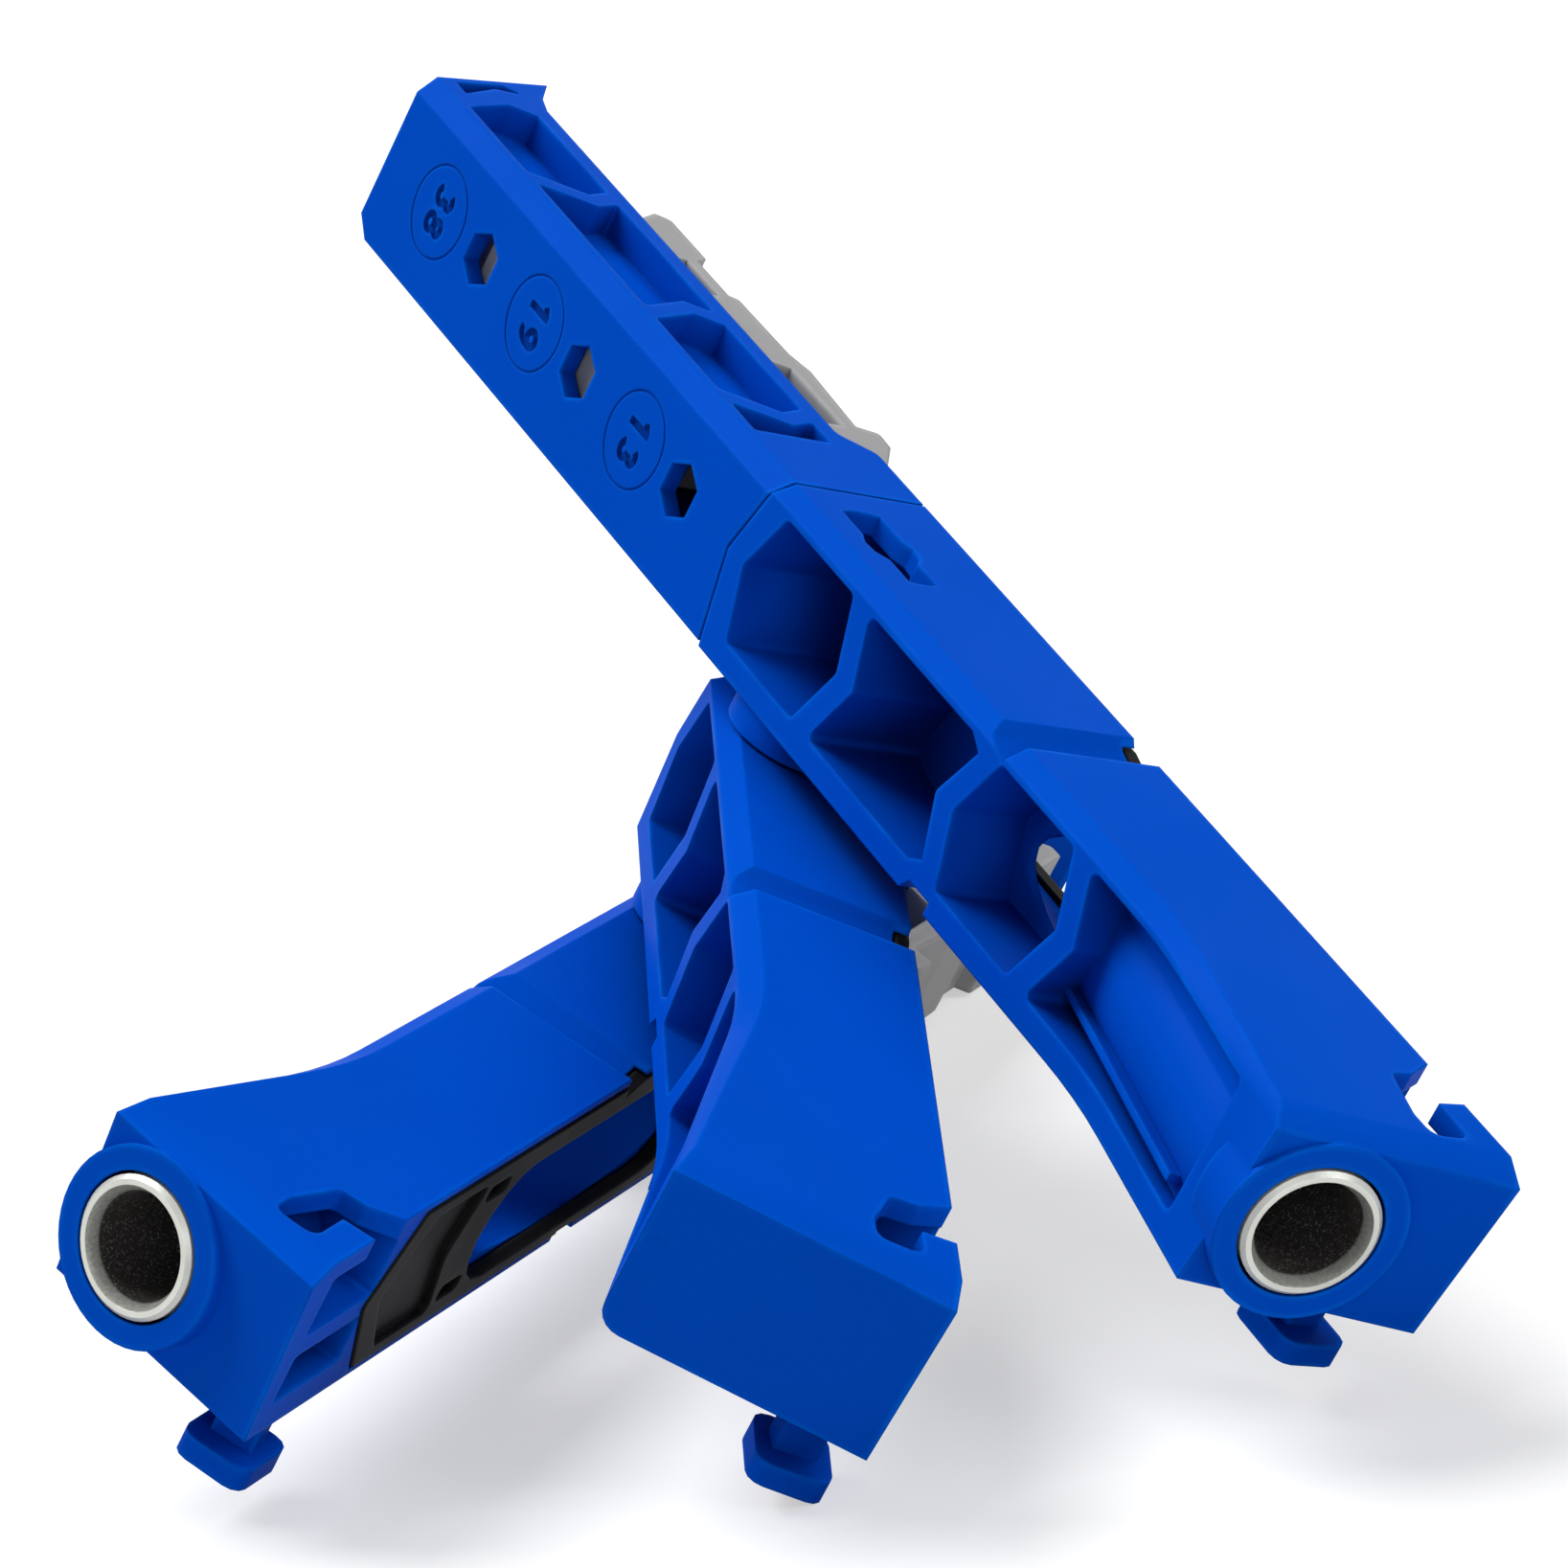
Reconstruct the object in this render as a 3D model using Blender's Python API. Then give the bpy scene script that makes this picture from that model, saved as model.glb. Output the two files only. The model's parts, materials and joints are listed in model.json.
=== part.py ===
"""Pocket hole jig: two drill guides and a spacer that twist about one bayonet axis.

Each unit is drawn in its own frame, in millimetres: x runs along the unit to its
bushing end, y points to the workpiece face and z is the twist axis, which rises to
the plain face. The three units are stacked on the axis and fanned out, and the whole
jig is tipped onto the points that it rests on.
"""

import math

import bmesh
import bpy
from mathutils import Matrix, Vector

MM = 0.001

# Outline of one unit, seen along the twist axis
THICKNESS = 18.8
WORK_FACE_Y = 10.4
WINDOW_FACE_Y = -7.5
SEAM_X = -9.9
SEAM_TIP = 2.5
PLAIN_BEVEL = 1.9
PLAIN_BEVEL_DROP = 1.5
BACK_EDGE_ROUND = 2.8
BACK_ROUND_TAPER = 0.3
HOOK_TO_END = 11.45
SPACER_SHORTER = 1.3
END_ANGLE = math.radians(13.3)
END_LEAN = 2.1
END_BEVEL = 2.7
END_CORNER_BEVEL = 0.7
GUIDE_FLARE_X = 62.5
SPACER_FLARE_X = 55.4
FLARE_ANGLE = math.radians(12.8)
FLARE_ROUND = 50.0

# The drill axis, its steel bushing and the bore behind it
DRILL_ANGLE = math.radians(14.5)
BUSHING_TO_END = 3.05
BUSHING_Y = -6.4
BUSHING_Z = 8.75
BUSHING_RADIUS = 6.35
DRILL_RADIUS = 4.765
BUSHING_LENGTH = 30.0
BUSHING_CHAMFER = 0.4
MOUTH_RADIUS = 5.45
MOUTH_DEPTH = 1.3
BORE_RADIUS = 7.0
BORE_REACH = 82.9
BOSS_RADIUS = 8.9
BOSS_LENGTH = 6.0
BUSHING_PROUD = 0.4
TUBE_WALL = 1.2
FIT_GAP = 0.3

# Hexagon cells in the window face
CELL_LOW = 2.65
CELL_HIGH = 16.7
CELL_TIP = 2.85
CELL_WALL = 3.2
CELL_FILLET = 0.8
HEXAGON_LENGTH = 13.0
WAIST_LENGTH = 21.7
WAIST_CHAMFER = 2.2
WINDOW_1_FLOOR = 7.3
WINDOW_2_WALL = 2.0
WINDOW_3_FLOOR = 1.5
RECESS_TO_BUSHING = 10.45
RECESS_LEVEL = 6.3
RIB_HEIGHT = 1.5
RIB_THICKNESS = 0.8
RIB_INSET = 1.2

# Grooves across the plain face and the back
GROOVE_START = 30.0
GROOVE_END = 34.6
GROOVE_STEP = 1.0
GROOVE_DEPTH = 2.0
BACK_GROOVE_DEPTH = 1.3

# Bayonet: keyhole in the plain face, connector on the back
UNIT_GAP = 3.4
KEY_RADIUS = 6.4
KEY_HUB_RADIUS = 3.0
KEY_WIDE_HALF = 2.3
KEY_NARROW_HALF = 1.7
KEY_CLEARANCE = 0.35
CONNECTOR_THICKNESS = 2.0
COLLAR_RADIUS = 6.9
CONNECTOR_TURN = math.radians(90)

# Hook on the back and the slot that the neighbour's hook closes into
HOOK_RADIUS = 84.85
HOOK_ANGLE = math.radians(4.5)
NECK_WIDTH = 2.8
NECK_HALF_ANGLE = math.radians(1.4)
HOOK_HEAD_THICKNESS = 2.3
HOOK_HEAD_AHEAD = 4.05
HOOK_HEAD_BEHIND = 3.95
HOOK_HEAD_BELOW = 3.55
HOOK_HEAD_ABOVE = 3.65
HOOK_HEAD_FILLET = 1.6
SLOT_PLATE = 2.1
SLOT_MOUTH_BEHIND = 4.45
SLOT_NECK_BEHIND = 2.65
SLOT_FLOOR = 3.9
SLOT_DIP = 2.7
PRONG_AHEAD = 1.55
PRONG_Y = 7.1
PRONG_TIP = 2.0
PRONG_DRAFT = 0.3
DETENT_TO_END = 4.7
DETENT_LENGTH = 3.2
DETENT_DRAFT = 0.2
POCKET_BEHIND = 4.85
POCKET_TO_END = 4.4
POCKET_FILLET = 0.5
HOOK_POCKET_LOW = 10.6
HOOK_POCKET_FLOOR = 1.5
BACK_POCKET_LOW = 3.3
BACK_POCKET_HIGH = 8.3
BACK_POCKET_FLOOR = 4.2

# Grip pad let into the workpiece face
PAD_START = -6.5
PAD_TO_HOOK = 9.35
PAD_TIP = 5.0
PAD_INSET = 1.0
PAD_PROUD = 0.2
PAD_THICKNESS = 1.4
PAD_TROUGH_LENGTH = 47.0
PAD_TROUGH_TO_BUSHING = 35.25
PAD_TROUGH_HALF = 6.5
PAD_CELL_LENGTH = 10.4
PAD_CELL_TO_END = 2.9
PAD_CELL_NOTCH = 2.6
PAD_CELL_RIM = 2.2
PAD_CELL_DEPTH = 0.8
PAD_CELL_FILLET = 0.8
PAD_EYE_TO_CELL = 5.0
PAD_EYE_LENGTH = 4.4
PAD_EYE_LOW = 2.9
PAD_EYE_WIDTH = 1.9
PAD_EYE_FILLET = 0.7

# Scale arm, a moulding of its own beyond the seam
ARM_UNDERSIDE = 0.4
ARM_EDGE_Y = 7.0
ARM_STEP_X = -22.4
ARM_STEP_LENGTH = 3.0
ARM_STEP_ROUND = 1.5
ARM_END_X = -88.6
ARM_LIP_X = -92.9
ARM_LIP_ROOT_X = -86.1
ARM_LIP_THICKNESS = 3.9
ARM_CELL_LOW_Y = -4.6
ARM_CELL_HIGH_Y = 4.8
ARM_CELL_TIP_Y = 1.7
ARM_CELL_DEPTH = 3.4
ARM_CELL_START = -85.7
ARM_CELL_LENGTH = 18.6
ARM_CELL_WALL = 2.5
ARM_CELL_SLOPE = 0.43
ARM_CELL_END = -20.0
SLIT_WALL = 3.3
SLIT_OUTER_WALL = 0.9
SIGHT_X = -22.8
SIGHT_PITCH = 22.0
SIGHT_RADIUS = 3.0
SIGHT_Z = 9.6
SIGHT_WALL = 2.0
SIGHT_ROOM_END = -18.6
SIGHT_ROOM_Y = 4.5
RAIL_LOW = 6.0
RAIL_HIGH = 13.0
ARM_END_ROUND = 2.5

# Positioning stop, which slides along the arm
STOP_START = -69.4
STOP_FACE_Y = 14.0
STOP_WALL = 2.2
STOP_BLOCK_1_END = -59.4
STOP_BLOCK_2_START = -52.3
STOP_BLOCK_2_END = -40.2
STOP_BLOCK_3_START = -27.6
STOP_BLOCK_3_END = -24.6
STOP_SLOPE_LENGTH = 3.4
STOP_LIP_Y = 16.4
STOP_TOE_X = -17.3
STOP_LOW = 1.6
STOP_HIGH = 17.2
STOP_TAB_INSET = 3.4
TONGUE_INSET = 0.5
TONGUE_END_X = -30.0

# The spacer's end has a small moulding dimple in place of the bushing
DIMPLE_SIDE = 8.2
DIMPLE_RADIUS = 1.1
DIMPLE_DEPTH = 0.8

# How the units stand: turned about the twist axis, then tipped onto the table
UPPER_TURN = 0.0
SPACER_TURN = math.radians(-27.9)
LOWER_TURN = math.radians(-57.2)
LEAN_GUESS = Vector((-0.39, -0.32, 0.86))
AWAY = Vector((-0.675, 0.626, -0.391))

BLUE = (0.003, 0.082, 0.52)
GREY = (0.32, 0.32, 0.31)
BLACK = (0.012, 0.012, 0.013)
STEEL = (0.62, 0.62, 0.60)

# Places that follow from the sizes above
PITCH = THICKNESS + UNIT_GAP
DRILL_SLOPE = math.tan(DRILL_ANGLE)
DRILL_OUT = Vector((math.cos(DRILL_ANGLE), -math.sin(DRILL_ANGLE), 0))
DRILL_SIDE = Vector((math.sin(DRILL_ANGLE), math.cos(DRILL_ANGLE), 0))
END_X = HOOK_RADIUS + HOOK_TO_END
BUSHING_X = END_X - BUSHING_TO_END
BUSHING_FACE = Vector((BUSHING_X, BUSHING_Y, BUSHING_Z))
MIDDLE = (CELL_LOW + CELL_HIGH) / 2
WINDOW_2_START = HEXAGON_LENGTH / 2 + CELL_WALL
WINDOW_3_START = WINDOW_2_START + WAIST_LENGTH + CELL_WALL
RECESS_START = WINDOW_3_START + HEXAGON_LENGTH + CELL_WALL
RECESS_LENGTH = BUSHING_X - RECESS_TO_BUSHING - RECESS_START
HOOK_Y = HOOK_RADIUS * math.sin(HOOK_ANGLE)
SLOT_NECK = HOOK_RADIUS - SLOT_NECK_BEHIND
PRONG_X = HOOK_RADIUS + PRONG_AHEAD
PAD_END = HOOK_RADIUS - PAD_TO_HOOK
PAD_CELL_START = PAD_END - PAD_CELL_TO_END - PAD_CELL_LENGTH
PAD_EYE_START = PAD_CELL_START - PAD_EYE_TO_CELL
PAD_TROUGH_END = BUSHING_X - PAD_TROUGH_TO_BUSHING
FLARE_SLOPE = math.tan(FLARE_ANGLE)
END_SLOPE = math.tan(END_ANGLE)
TUBE_RADIUS = BUSHING_RADIUS + FIT_GAP + TUBE_WALL
FAR = 30.0
OVERSHOOT = 1.5
HAIR = 0.01
KEY_PLATE = THICKNESS - CELL_HIGH


def clear_scene():
    """Start from an empty scene."""
    for old in list(bpy.data.objects):
        bpy.data.objects.remove(old, do_unlink=True)


def material(name, colour, roughness, metallic=0.0):
    """A plain Principled material."""
    made = bpy.data.materials.new(name)
    made.use_nodes = True
    shader = made.node_tree.nodes["Principled BSDF"]
    shader.inputs["Base Color"].default_value = (*colour, 1.0)
    shader.inputs["Roughness"].default_value = roughness
    shader.inputs["Metallic"].default_value = metallic
    return made


def solid(name, mesh_maker):
    """An object from a finished bmesh in millimetres, its faces pointing out."""
    bmesh.ops.recalc_face_normals(mesh_maker, faces=mesh_maker.faces)
    bmesh.ops.scale(mesh_maker, vec=(MM, MM, MM), verts=mesh_maker.verts)
    mesh = bpy.data.meshes.new(name)
    mesh_maker.to_mesh(mesh)
    mesh_maker.free()
    made = bpy.data.objects.new(name, mesh)
    bpy.context.collection.objects.link(made)
    return made


def arc(centre, radius, first, last, steps):
    """Points on an arc from one angle to another."""
    angles = [first + (last - first) * step / steps for step in range(steps + 1)]
    return [(centre[0] + radius * math.cos(angle), centre[1] + radius * math.sin(angle))
            for angle in angles]


def filleted(corners, steps=3):
    """An outline whose corners (x, y, radius) are rounded by arcs."""
    points = []
    for index, (x, y, radius) in enumerate(corners):
        corner = Vector((x, y))
        if radius == 0:
            points.append((x, y))
            continue
        before = (Vector(corners[index - 1][:2]) - corner).normalized()
        after = (Vector(corners[(index + 1) % len(corners)][:2]) - corner).normalized()
        half = before.angle(after) / 2
        centre = corner + (before + after).normalized() * radius / math.sin(half)
        start = corner + before * radius / math.tan(half) - centre
        first = math.atan2(start.y, start.x)
        turn = 1 if before.x * after.y - before.y * after.x < 0 else -1
        points += arc(centre, radius, first, first + turn * (math.pi - 2 * half), steps)
    return points


def turned(outline, angle):
    """An outline turned about the origin."""
    across, along = math.sin(angle), math.cos(angle)
    return [(x * along - y * across, x * across + y * along) for x, y in outline]


def flat_place(x, y, depth):
    """Outlines seen along the twist axis."""
    return (x, y, depth)


def side_place(x, z, depth):
    """Outlines seen from the window face."""
    return (x, depth, z)


def drill_place(side, z, out):
    """Outlines across the drill axis: side from the axis, z from the back, out from the bushing face."""
    point = BUSHING_FACE + DRILL_OUT * out + DRILL_SIDE * side
    return (point.x, point.y, z)


def prism(name, outline, low, high, place=flat_place):
    """An outline carried from low to high; low and high may be functions of its first coordinate."""
    low_of = low if callable(low) else lambda _: low
    high_of = high if callable(high) else lambda _: high
    shape = bmesh.new()
    bottom = [shape.verts.new(place(a, b, low_of(a))) for a, b in outline]
    top = [shape.verts.new(place(a, b, high_of(a))) for a, b in outline]
    shape.faces.new(bottom)
    shape.faces.new(reversed(top))
    for index in range(len(outline)):
        after = (index + 1) % len(outline)
        shape.faces.new((bottom[index], top[index], top[after], bottom[after]))
    return solid(name, shape)


def revolved(name, profile, sides):
    """A ring about the drill axis from a closed profile of (radius, out) points."""
    shape = bmesh.new()
    rings = []
    for radius, out in profile:
        ring = [shape.verts.new(drill_place(side, BUSHING_Z + up, out))
                for side, up in arc((0, 0), radius, 0, 2 * math.pi * (sides - 1) / sides, sides - 1)]
        rings.append(ring)
    for index, ring in enumerate(rings):
        following = rings[(index + 1) % len(rings)]
        for step in range(sides):
            after = (step + 1) % sides
            shape.faces.new((ring[step], following[step], following[after], ring[after]))
    return solid(name, shape)


def drill_rod(name, radius, inner, outer, sides=40):
    """A round bar along the drill axis."""
    outline = arc((0, BUSHING_Z), radius, 0, 2 * math.pi * (sides - 1) / sides, sides - 1)
    return prism(name, outline, inner, outer, drill_place)


def bevel_edges(made, chosen, width, segments=1):
    """Bevel the edges that the test picks, by their two ends in millimetres."""
    shape = bmesh.new()
    shape.from_mesh(made.data)
    edges = [edge for edge in shape.edges if chosen(*[vert.co / MM for vert in edge.verts])]
    bmesh.ops.bevel(shape, geom=edges, offset=width * MM, segments=segments, profile=0.5,
                    affect='EDGES', clamp_overlap=True)
    shape.to_mesh(made.data)
    shape.free()


def carve(body, operation, *tools):
    """Cut, join or intersect a body with hidden tools."""
    for tool in tools:
        change = body.modifiers.new(tool.name, 'BOOLEAN')
        change.operation = operation
        change.object = tool
        change.solver = 'EXACT'
        tool.hide_render = True
        tool.display_type = 'WIRE'


def finish(body):
    """The body's mesh with all its cuts made; the body and its tools are taken away."""
    bpy.context.view_layer.update()
    evaluated = body.evaluated_get(bpy.context.evaluated_depsgraph_get())
    mesh = bpy.data.meshes.new_from_object(evaluated)
    for tool in {change.object for change in body.modifiers}:
        bpy.data.objects.remove(tool, do_unlink=True)
    bpy.data.objects.remove(body, do_unlink=True)
    return mesh


def drill_axis_y(x):
    """Height of the drill axis above a place along the unit."""
    return BUSHING_Y + (BUSHING_X - x) * DRILL_SLOPE


def hexagon(start, end, low, high, left_tip, right_tip, middle, fillet):
    """A cell between two places: tips point outwards where positive and inwards where negative."""
    return filleted([(start, low, fillet), (end, low, fillet), (end + right_tip, middle, fillet),
                     (end, high, fillet), (start, high, fillet), (start - left_tip, middle, fillet)])


def seam_notches(clearance):
    """Wedges that leave the hexagon tip of a unit's arm end."""
    corner = SEAM_X - clearance
    tip = corner - SEAM_TIP
    lower = [(tip - FAR, -FAR), (corner + HAIR, -FAR), (corner, 0), (tip, MIDDLE), (tip - FAR, MIDDLE)]
    upper = [(tip - FAR, MIDDLE), (tip, MIDDLE), (corner, THICKNESS), (corner + HAIR, FAR),
             (tip - FAR, FAR)]
    return [prism(name, outline, -FAR, FAR, side_place)
            for name, outline in (("seam_lower", lower), ("seam_upper", upper))]


def level_outline(flare_x, end_x, inset, end_inset):
    """The moulding's outline at one level: straight, then flared by an arc to the slanted end."""
    end_low_x = (end_x - (WORK_FACE_Y - WINDOW_FACE_Y - flare_x * FLARE_SLOPE) * END_SLOPE)
    end_low_x = end_low_x / (1 + FLARE_SLOPE * END_SLOPE)
    end_low_y = WINDOW_FACE_Y - (end_low_x - flare_x) * FLARE_SLOPE
    return filleted([(SEAM_X - SEAM_TIP - 1, WINDOW_FACE_Y + inset, 0),
                     (flare_x, WINDOW_FACE_Y + inset, FLARE_ROUND),
                     (end_low_x, end_low_y + end_inset, 0), (end_x, WORK_FACE_Y, 0),
                     (SEAM_X - SEAM_TIP - 1, WORK_FACE_Y, 0)], steps=4)


def blank(flare_x, end_x):
    """The moulding's outside: three outlines joined, with the bevels between the upper two."""
    levels = ((0, level_outline(flare_x, end_x - END_LEAN, 0, 0)),
              (THICKNESS - PLAIN_BEVEL_DROP, level_outline(flare_x, end_x, 0, 0)),
              (THICKNESS, level_outline(flare_x, end_x - END_BEVEL, PLAIN_BEVEL, END_CORNER_BEVEL)))
    shape = bmesh.new()
    loops = [[shape.verts.new((x, y, z)) for x, y in outline] for z, outline in levels]
    shape.faces.new(loops[0])
    shape.faces.new(reversed(loops[-1]))
    for below, above in zip(loops, loops[1:]):
        for index in range(len(below)):
            after = (index + 1) % len(below)
            shape.faces.new((below[index], above[index], above[after], below[after]))
    body = solid("blank", shape)
    carve(body, 'DIFFERENCE', *seam_notches(0))
    return body


def back_rounding(flare_x, end_x):
    """Waste that rounds the edge of the window side and the back, more and more toward the end."""
    along = Vector((math.cos(FLARE_ANGLE), -math.sin(FLARE_ANGLE), 0))
    inward = Vector((math.sin(FLARE_ANGLE), math.cos(FLARE_ANGLE), 0))
    length = (end_x - flare_x) / along.x

    def place(across, up, out):
        size = BACK_ROUND_TAPER + (1 - BACK_ROUND_TAPER) * out / length
        point = Vector((flare_x, WINDOW_FACE_Y, 0)) + inward * across * size + along * out
        return (point.x, point.y, up * size)
    outline = [(-OVERSHOOT, -OVERSHOOT), (BACK_EDGE_ROUND, -OVERSHOOT)]
    outline += arc((BACK_EDGE_ROUND, BACK_EDGE_ROUND), BACK_EDGE_ROUND, -math.pi / 2, -math.pi, 5)
    outline.append((-OVERSHOOT, BACK_EDGE_ROUND))
    start = FLARE_ROUND * math.tan(FLARE_ANGLE / 2)
    return prism("back_rounding", outline, start, length + OVERSHOOT, place)


def cells():
    """The hexagon windows: two alike, and between them a waisted one, so that the walls are chevrons."""
    outer = WINDOW_FACE_Y - FAR
    half = HEXAGON_LENGTH / 2
    first = hexagon(-half, half, CELL_LOW, CELL_HIGH, CELL_TIP, CELL_TIP, MIDDLE, CELL_FILLET)
    third = hexagon(WINDOW_3_START, WINDOW_3_START + HEXAGON_LENGTH, CELL_LOW, CELL_HIGH, CELL_TIP,
                    CELL_TIP, MIDDLE, CELL_FILLET)
    end = WINDOW_2_START + WAIST_LENGTH
    waisted = filleted([(WINDOW_2_START, CELL_LOW, CELL_FILLET), (end - WAIST_CHAMFER, CELL_LOW, 0),
                        (end - 0.2, CELL_LOW + WAIST_CHAMFER / 2, 0), (end - CELL_TIP, MIDDLE, CELL_FILLET),
                        (end - 0.2, CELL_HIGH - WAIST_CHAMFER / 2, 0), (end - WAIST_CHAMFER, CELL_HIGH, 0),
                        (WINDOW_2_START, CELL_HIGH, CELL_FILLET),
                        (WINDOW_2_START + CELL_TIP, MIDDLE, CELL_FILLET)])

    def beside_bore(x):
        return drill_axis_y(x) - (BORE_RADIUS + WINDOW_2_WALL) / math.cos(DRILL_ANGLE)
    return [prism("window_1", first, outer, WINDOW_1_FLOOR, side_place),
            prism("window_2", waisted, outer, beside_bore, side_place),
            prism("window_3", third, outer, WINDOW_3_FLOOR, side_place)]


def recess():
    """The long recess beside the drill tube: its floor runs along the drill axis, with a thin rib."""
    outline = hexagon(RECESS_START, RECESS_START + RECESS_LENGTH, CELL_LOW, CELL_HIGH, -CELL_TIP, HAIR,
                      MIDDLE, CELL_FILLET)

    def floor(x):
        return drill_axis_y(x) - RECESS_LEVEL / math.cos(DRILL_ANGLE)
    pocket = prism("recess", outline, WINDOW_FACE_Y - FAR, floor, side_place)
    inner = (RECESS_START - BUSHING_X) / math.cos(DRILL_ANGLE)
    rib_low = CELL_LOW + RIB_INSET
    rib_top = RECESS_LEVEL + RIB_HEIGHT
    rib_root = -RECESS_LEVEL + RIB_THICKNESS
    rib_outline = [(rib_root, rib_low), (-rib_top, rib_low), (-rib_top, rib_low + RIB_THICKNESS),
                   (rib_root, rib_low + RIB_THICKNESS)]
    rib = prism("recess_rib", rib_outline, inner, inner + RECESS_LENGTH, drill_place)
    return pocket, rib


def grooves():
    """The groove across the plain face and the shallow one across the back."""
    plain = [(GROOVE_START, THICKNESS + OVERSHOOT), (GROOVE_START, THICKNESS),
             (GROOVE_START + GROOVE_STEP, THICKNESS - GROOVE_STEP), (GROOVE_END, THICKNESS - GROOVE_DEPTH),
             (GROOVE_END, THICKNESS + OVERSHOOT)]
    back = [(GROOVE_START, -OVERSHOOT), (GROOVE_START, 0), (GROOVE_START + GROOVE_STEP, BACK_GROOVE_DEPTH),
            (GROOVE_END, BACK_GROOVE_DEPTH), (GROOVE_END, -OVERSHOOT)]
    return [prism(name, outline, -FAR, FAR, side_place)
            for name, outline in (("plain_groove", plain), ("back_groove", back))]


def key_outline(clearance):
    """Keyhole or connector: a hub with a wide lobe on one side and a narrow lobe on the other."""
    hub = KEY_HUB_RADIUS - clearance
    reach = KEY_RADIUS - clearance
    narrow = KEY_NARROW_HALF - clearance
    wide = KEY_WIDE_HALF - clearance
    right = math.asin(narrow / reach)
    left = math.pi - math.asin(wide / reach)
    hub_right = math.asin(narrow / hub)
    hub_left = math.pi - math.asin(wide / hub)
    return (arc((0, 0), reach, -right, right, 3) + arc((0, 0), hub, hub_right, hub_left, 3)
            + arc((0, 0), reach, left, 2 * math.pi - left, 4)
            + arc((0, 0), hub, -hub_left, -hub_right, 3))


def keyhole():
    """The hole that the neighbour's connector is pushed through and twisted in."""
    return prism("keyhole", key_outline(0), CELL_HIGH - OVERSHOOT, THICKNESS + OVERSHOOT)


def connector():
    """The collar, stem and lobes on the back, with the lobes a quarter turn from the keyhole's."""
    top = -(UNIT_GAP + KEY_PLATE + FIT_GAP)
    collar_outline = arc((0, 0), COLLAR_RADIUS, 0, 2 * math.pi * 31 / 32, 31)
    collar = prism("collar", collar_outline, FIT_GAP - UNIT_GAP, OVERSHOOT)
    stem = prism("stem", arc((0, 0), KEY_HUB_RADIUS - KEY_CLEARANCE, 0, 2 * math.pi * 23 / 24, 23),
                 top - CONNECTOR_THICKNESS / 2, FIT_GAP)
    lobes = prism("lobes", turned(key_outline(KEY_CLEARANCE), CONNECTOR_TURN),
                  top - CONNECTOR_THICKNESS, top)
    return [collar, stem, lobes]


def hook():
    """The hook under the back: an arc-shaped neck and a wide head."""
    top = -(UNIT_GAP + SLOT_PLATE + FIT_GAP)
    inner = HOOK_RADIUS - NECK_WIDTH / 2
    outer = HOOK_RADIUS + NECK_WIDTH / 2
    first, last = HOOK_ANGLE - NECK_HALF_ANGLE, HOOK_ANGLE + NECK_HALF_ANGLE
    neck = prism("hook_neck", arc((0, 0), outer, first, last, 3) + arc((0, 0), inner, last, first, 3),
                 top - HOOK_HEAD_THICKNESS / 2, BACK_POCKET_LOW / 2)
    back, front = HOOK_RADIUS - HOOK_HEAD_BEHIND, HOOK_RADIUS + HOOK_HEAD_AHEAD
    low, high = HOOK_Y - HOOK_HEAD_BELOW, HOOK_Y + HOOK_HEAD_ABOVE
    head_outline = filleted([(x, y, HOOK_HEAD_FILLET)
                             for x, y in ((back, low), (front, low), (front, high), (back, high))])
    head = prism("hook_head", head_outline, top - HOOK_HEAD_THICKNESS, top)
    return [neck, head]


def hook_room(end_x):
    """The slot in the plain face and the two pockets that the workpiece face opens into."""
    mouth = WORK_FACE_Y + OVERSHOOT
    start = HOOK_RADIUS - SLOT_MOUTH_BEHIND
    neck_low = SLOT_FLOOR + 0.6
    neck_high = (WORK_FACE_Y + SLOT_FLOOR) / 2
    detent = end_x - DETENT_TO_END
    outline = filleted([(start, mouth, 0), (start, WORK_FACE_Y, 0), (SLOT_NECK, neck_high, 0.6),
                        (SLOT_NECK + DETENT_DRAFT, neck_low, 0.8), (detent - DETENT_LENGTH, SLOT_DIP, 1.6),
                        (detent - DETENT_DRAFT, SLOT_DIP, 1.2), (detent, PRONG_Y, 1.2),
                        (PRONG_X + PRONG_TIP, PRONG_Y, 0.6), (PRONG_X, PRONG_Y, 0.2),
                        (PRONG_X - PRONG_DRAFT, mouth, 0)])
    opening = prism("slot", outline, THICKNESS - SLOT_PLATE - OVERSHOOT, THICKNESS + OVERSHOOT)
    high = THICKNESS - SLOT_PLATE
    rows = (("hook_pocket", HOOK_POCKET_LOW, high, HOOK_POCKET_FLOOR),
            ("back_pocket", BACK_POCKET_LOW, BACK_POCKET_HIGH, BACK_POCKET_FLOOR))
    left, right = HOOK_RADIUS - POCKET_BEHIND, end_x - POCKET_TO_END
    pockets = []
    for name, low, top, floor in rows:
        corners = filleted([(x, z, POCKET_FILLET)
                            for x, z in ((left, low), (right, low), (right, top), (left, top))])
        pockets.append(prism(name, corners, floor, mouth, side_place))
    return [opening, *pockets]


def pad_outline(margin):
    """The pad's edge, with the hexagon tip toward the bushing end."""
    low = PAD_INSET - margin
    high = THICKNESS - PAD_INSET + margin
    return filleted([(PAD_START - margin, low, 0), (PAD_END + margin, low, 0.5),
                     (PAD_END + PAD_TIP + margin, THICKNESS / 2, 1.0), (PAD_END + margin, high, 0.5),
                     (PAD_START - margin, high, 0)])


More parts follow.
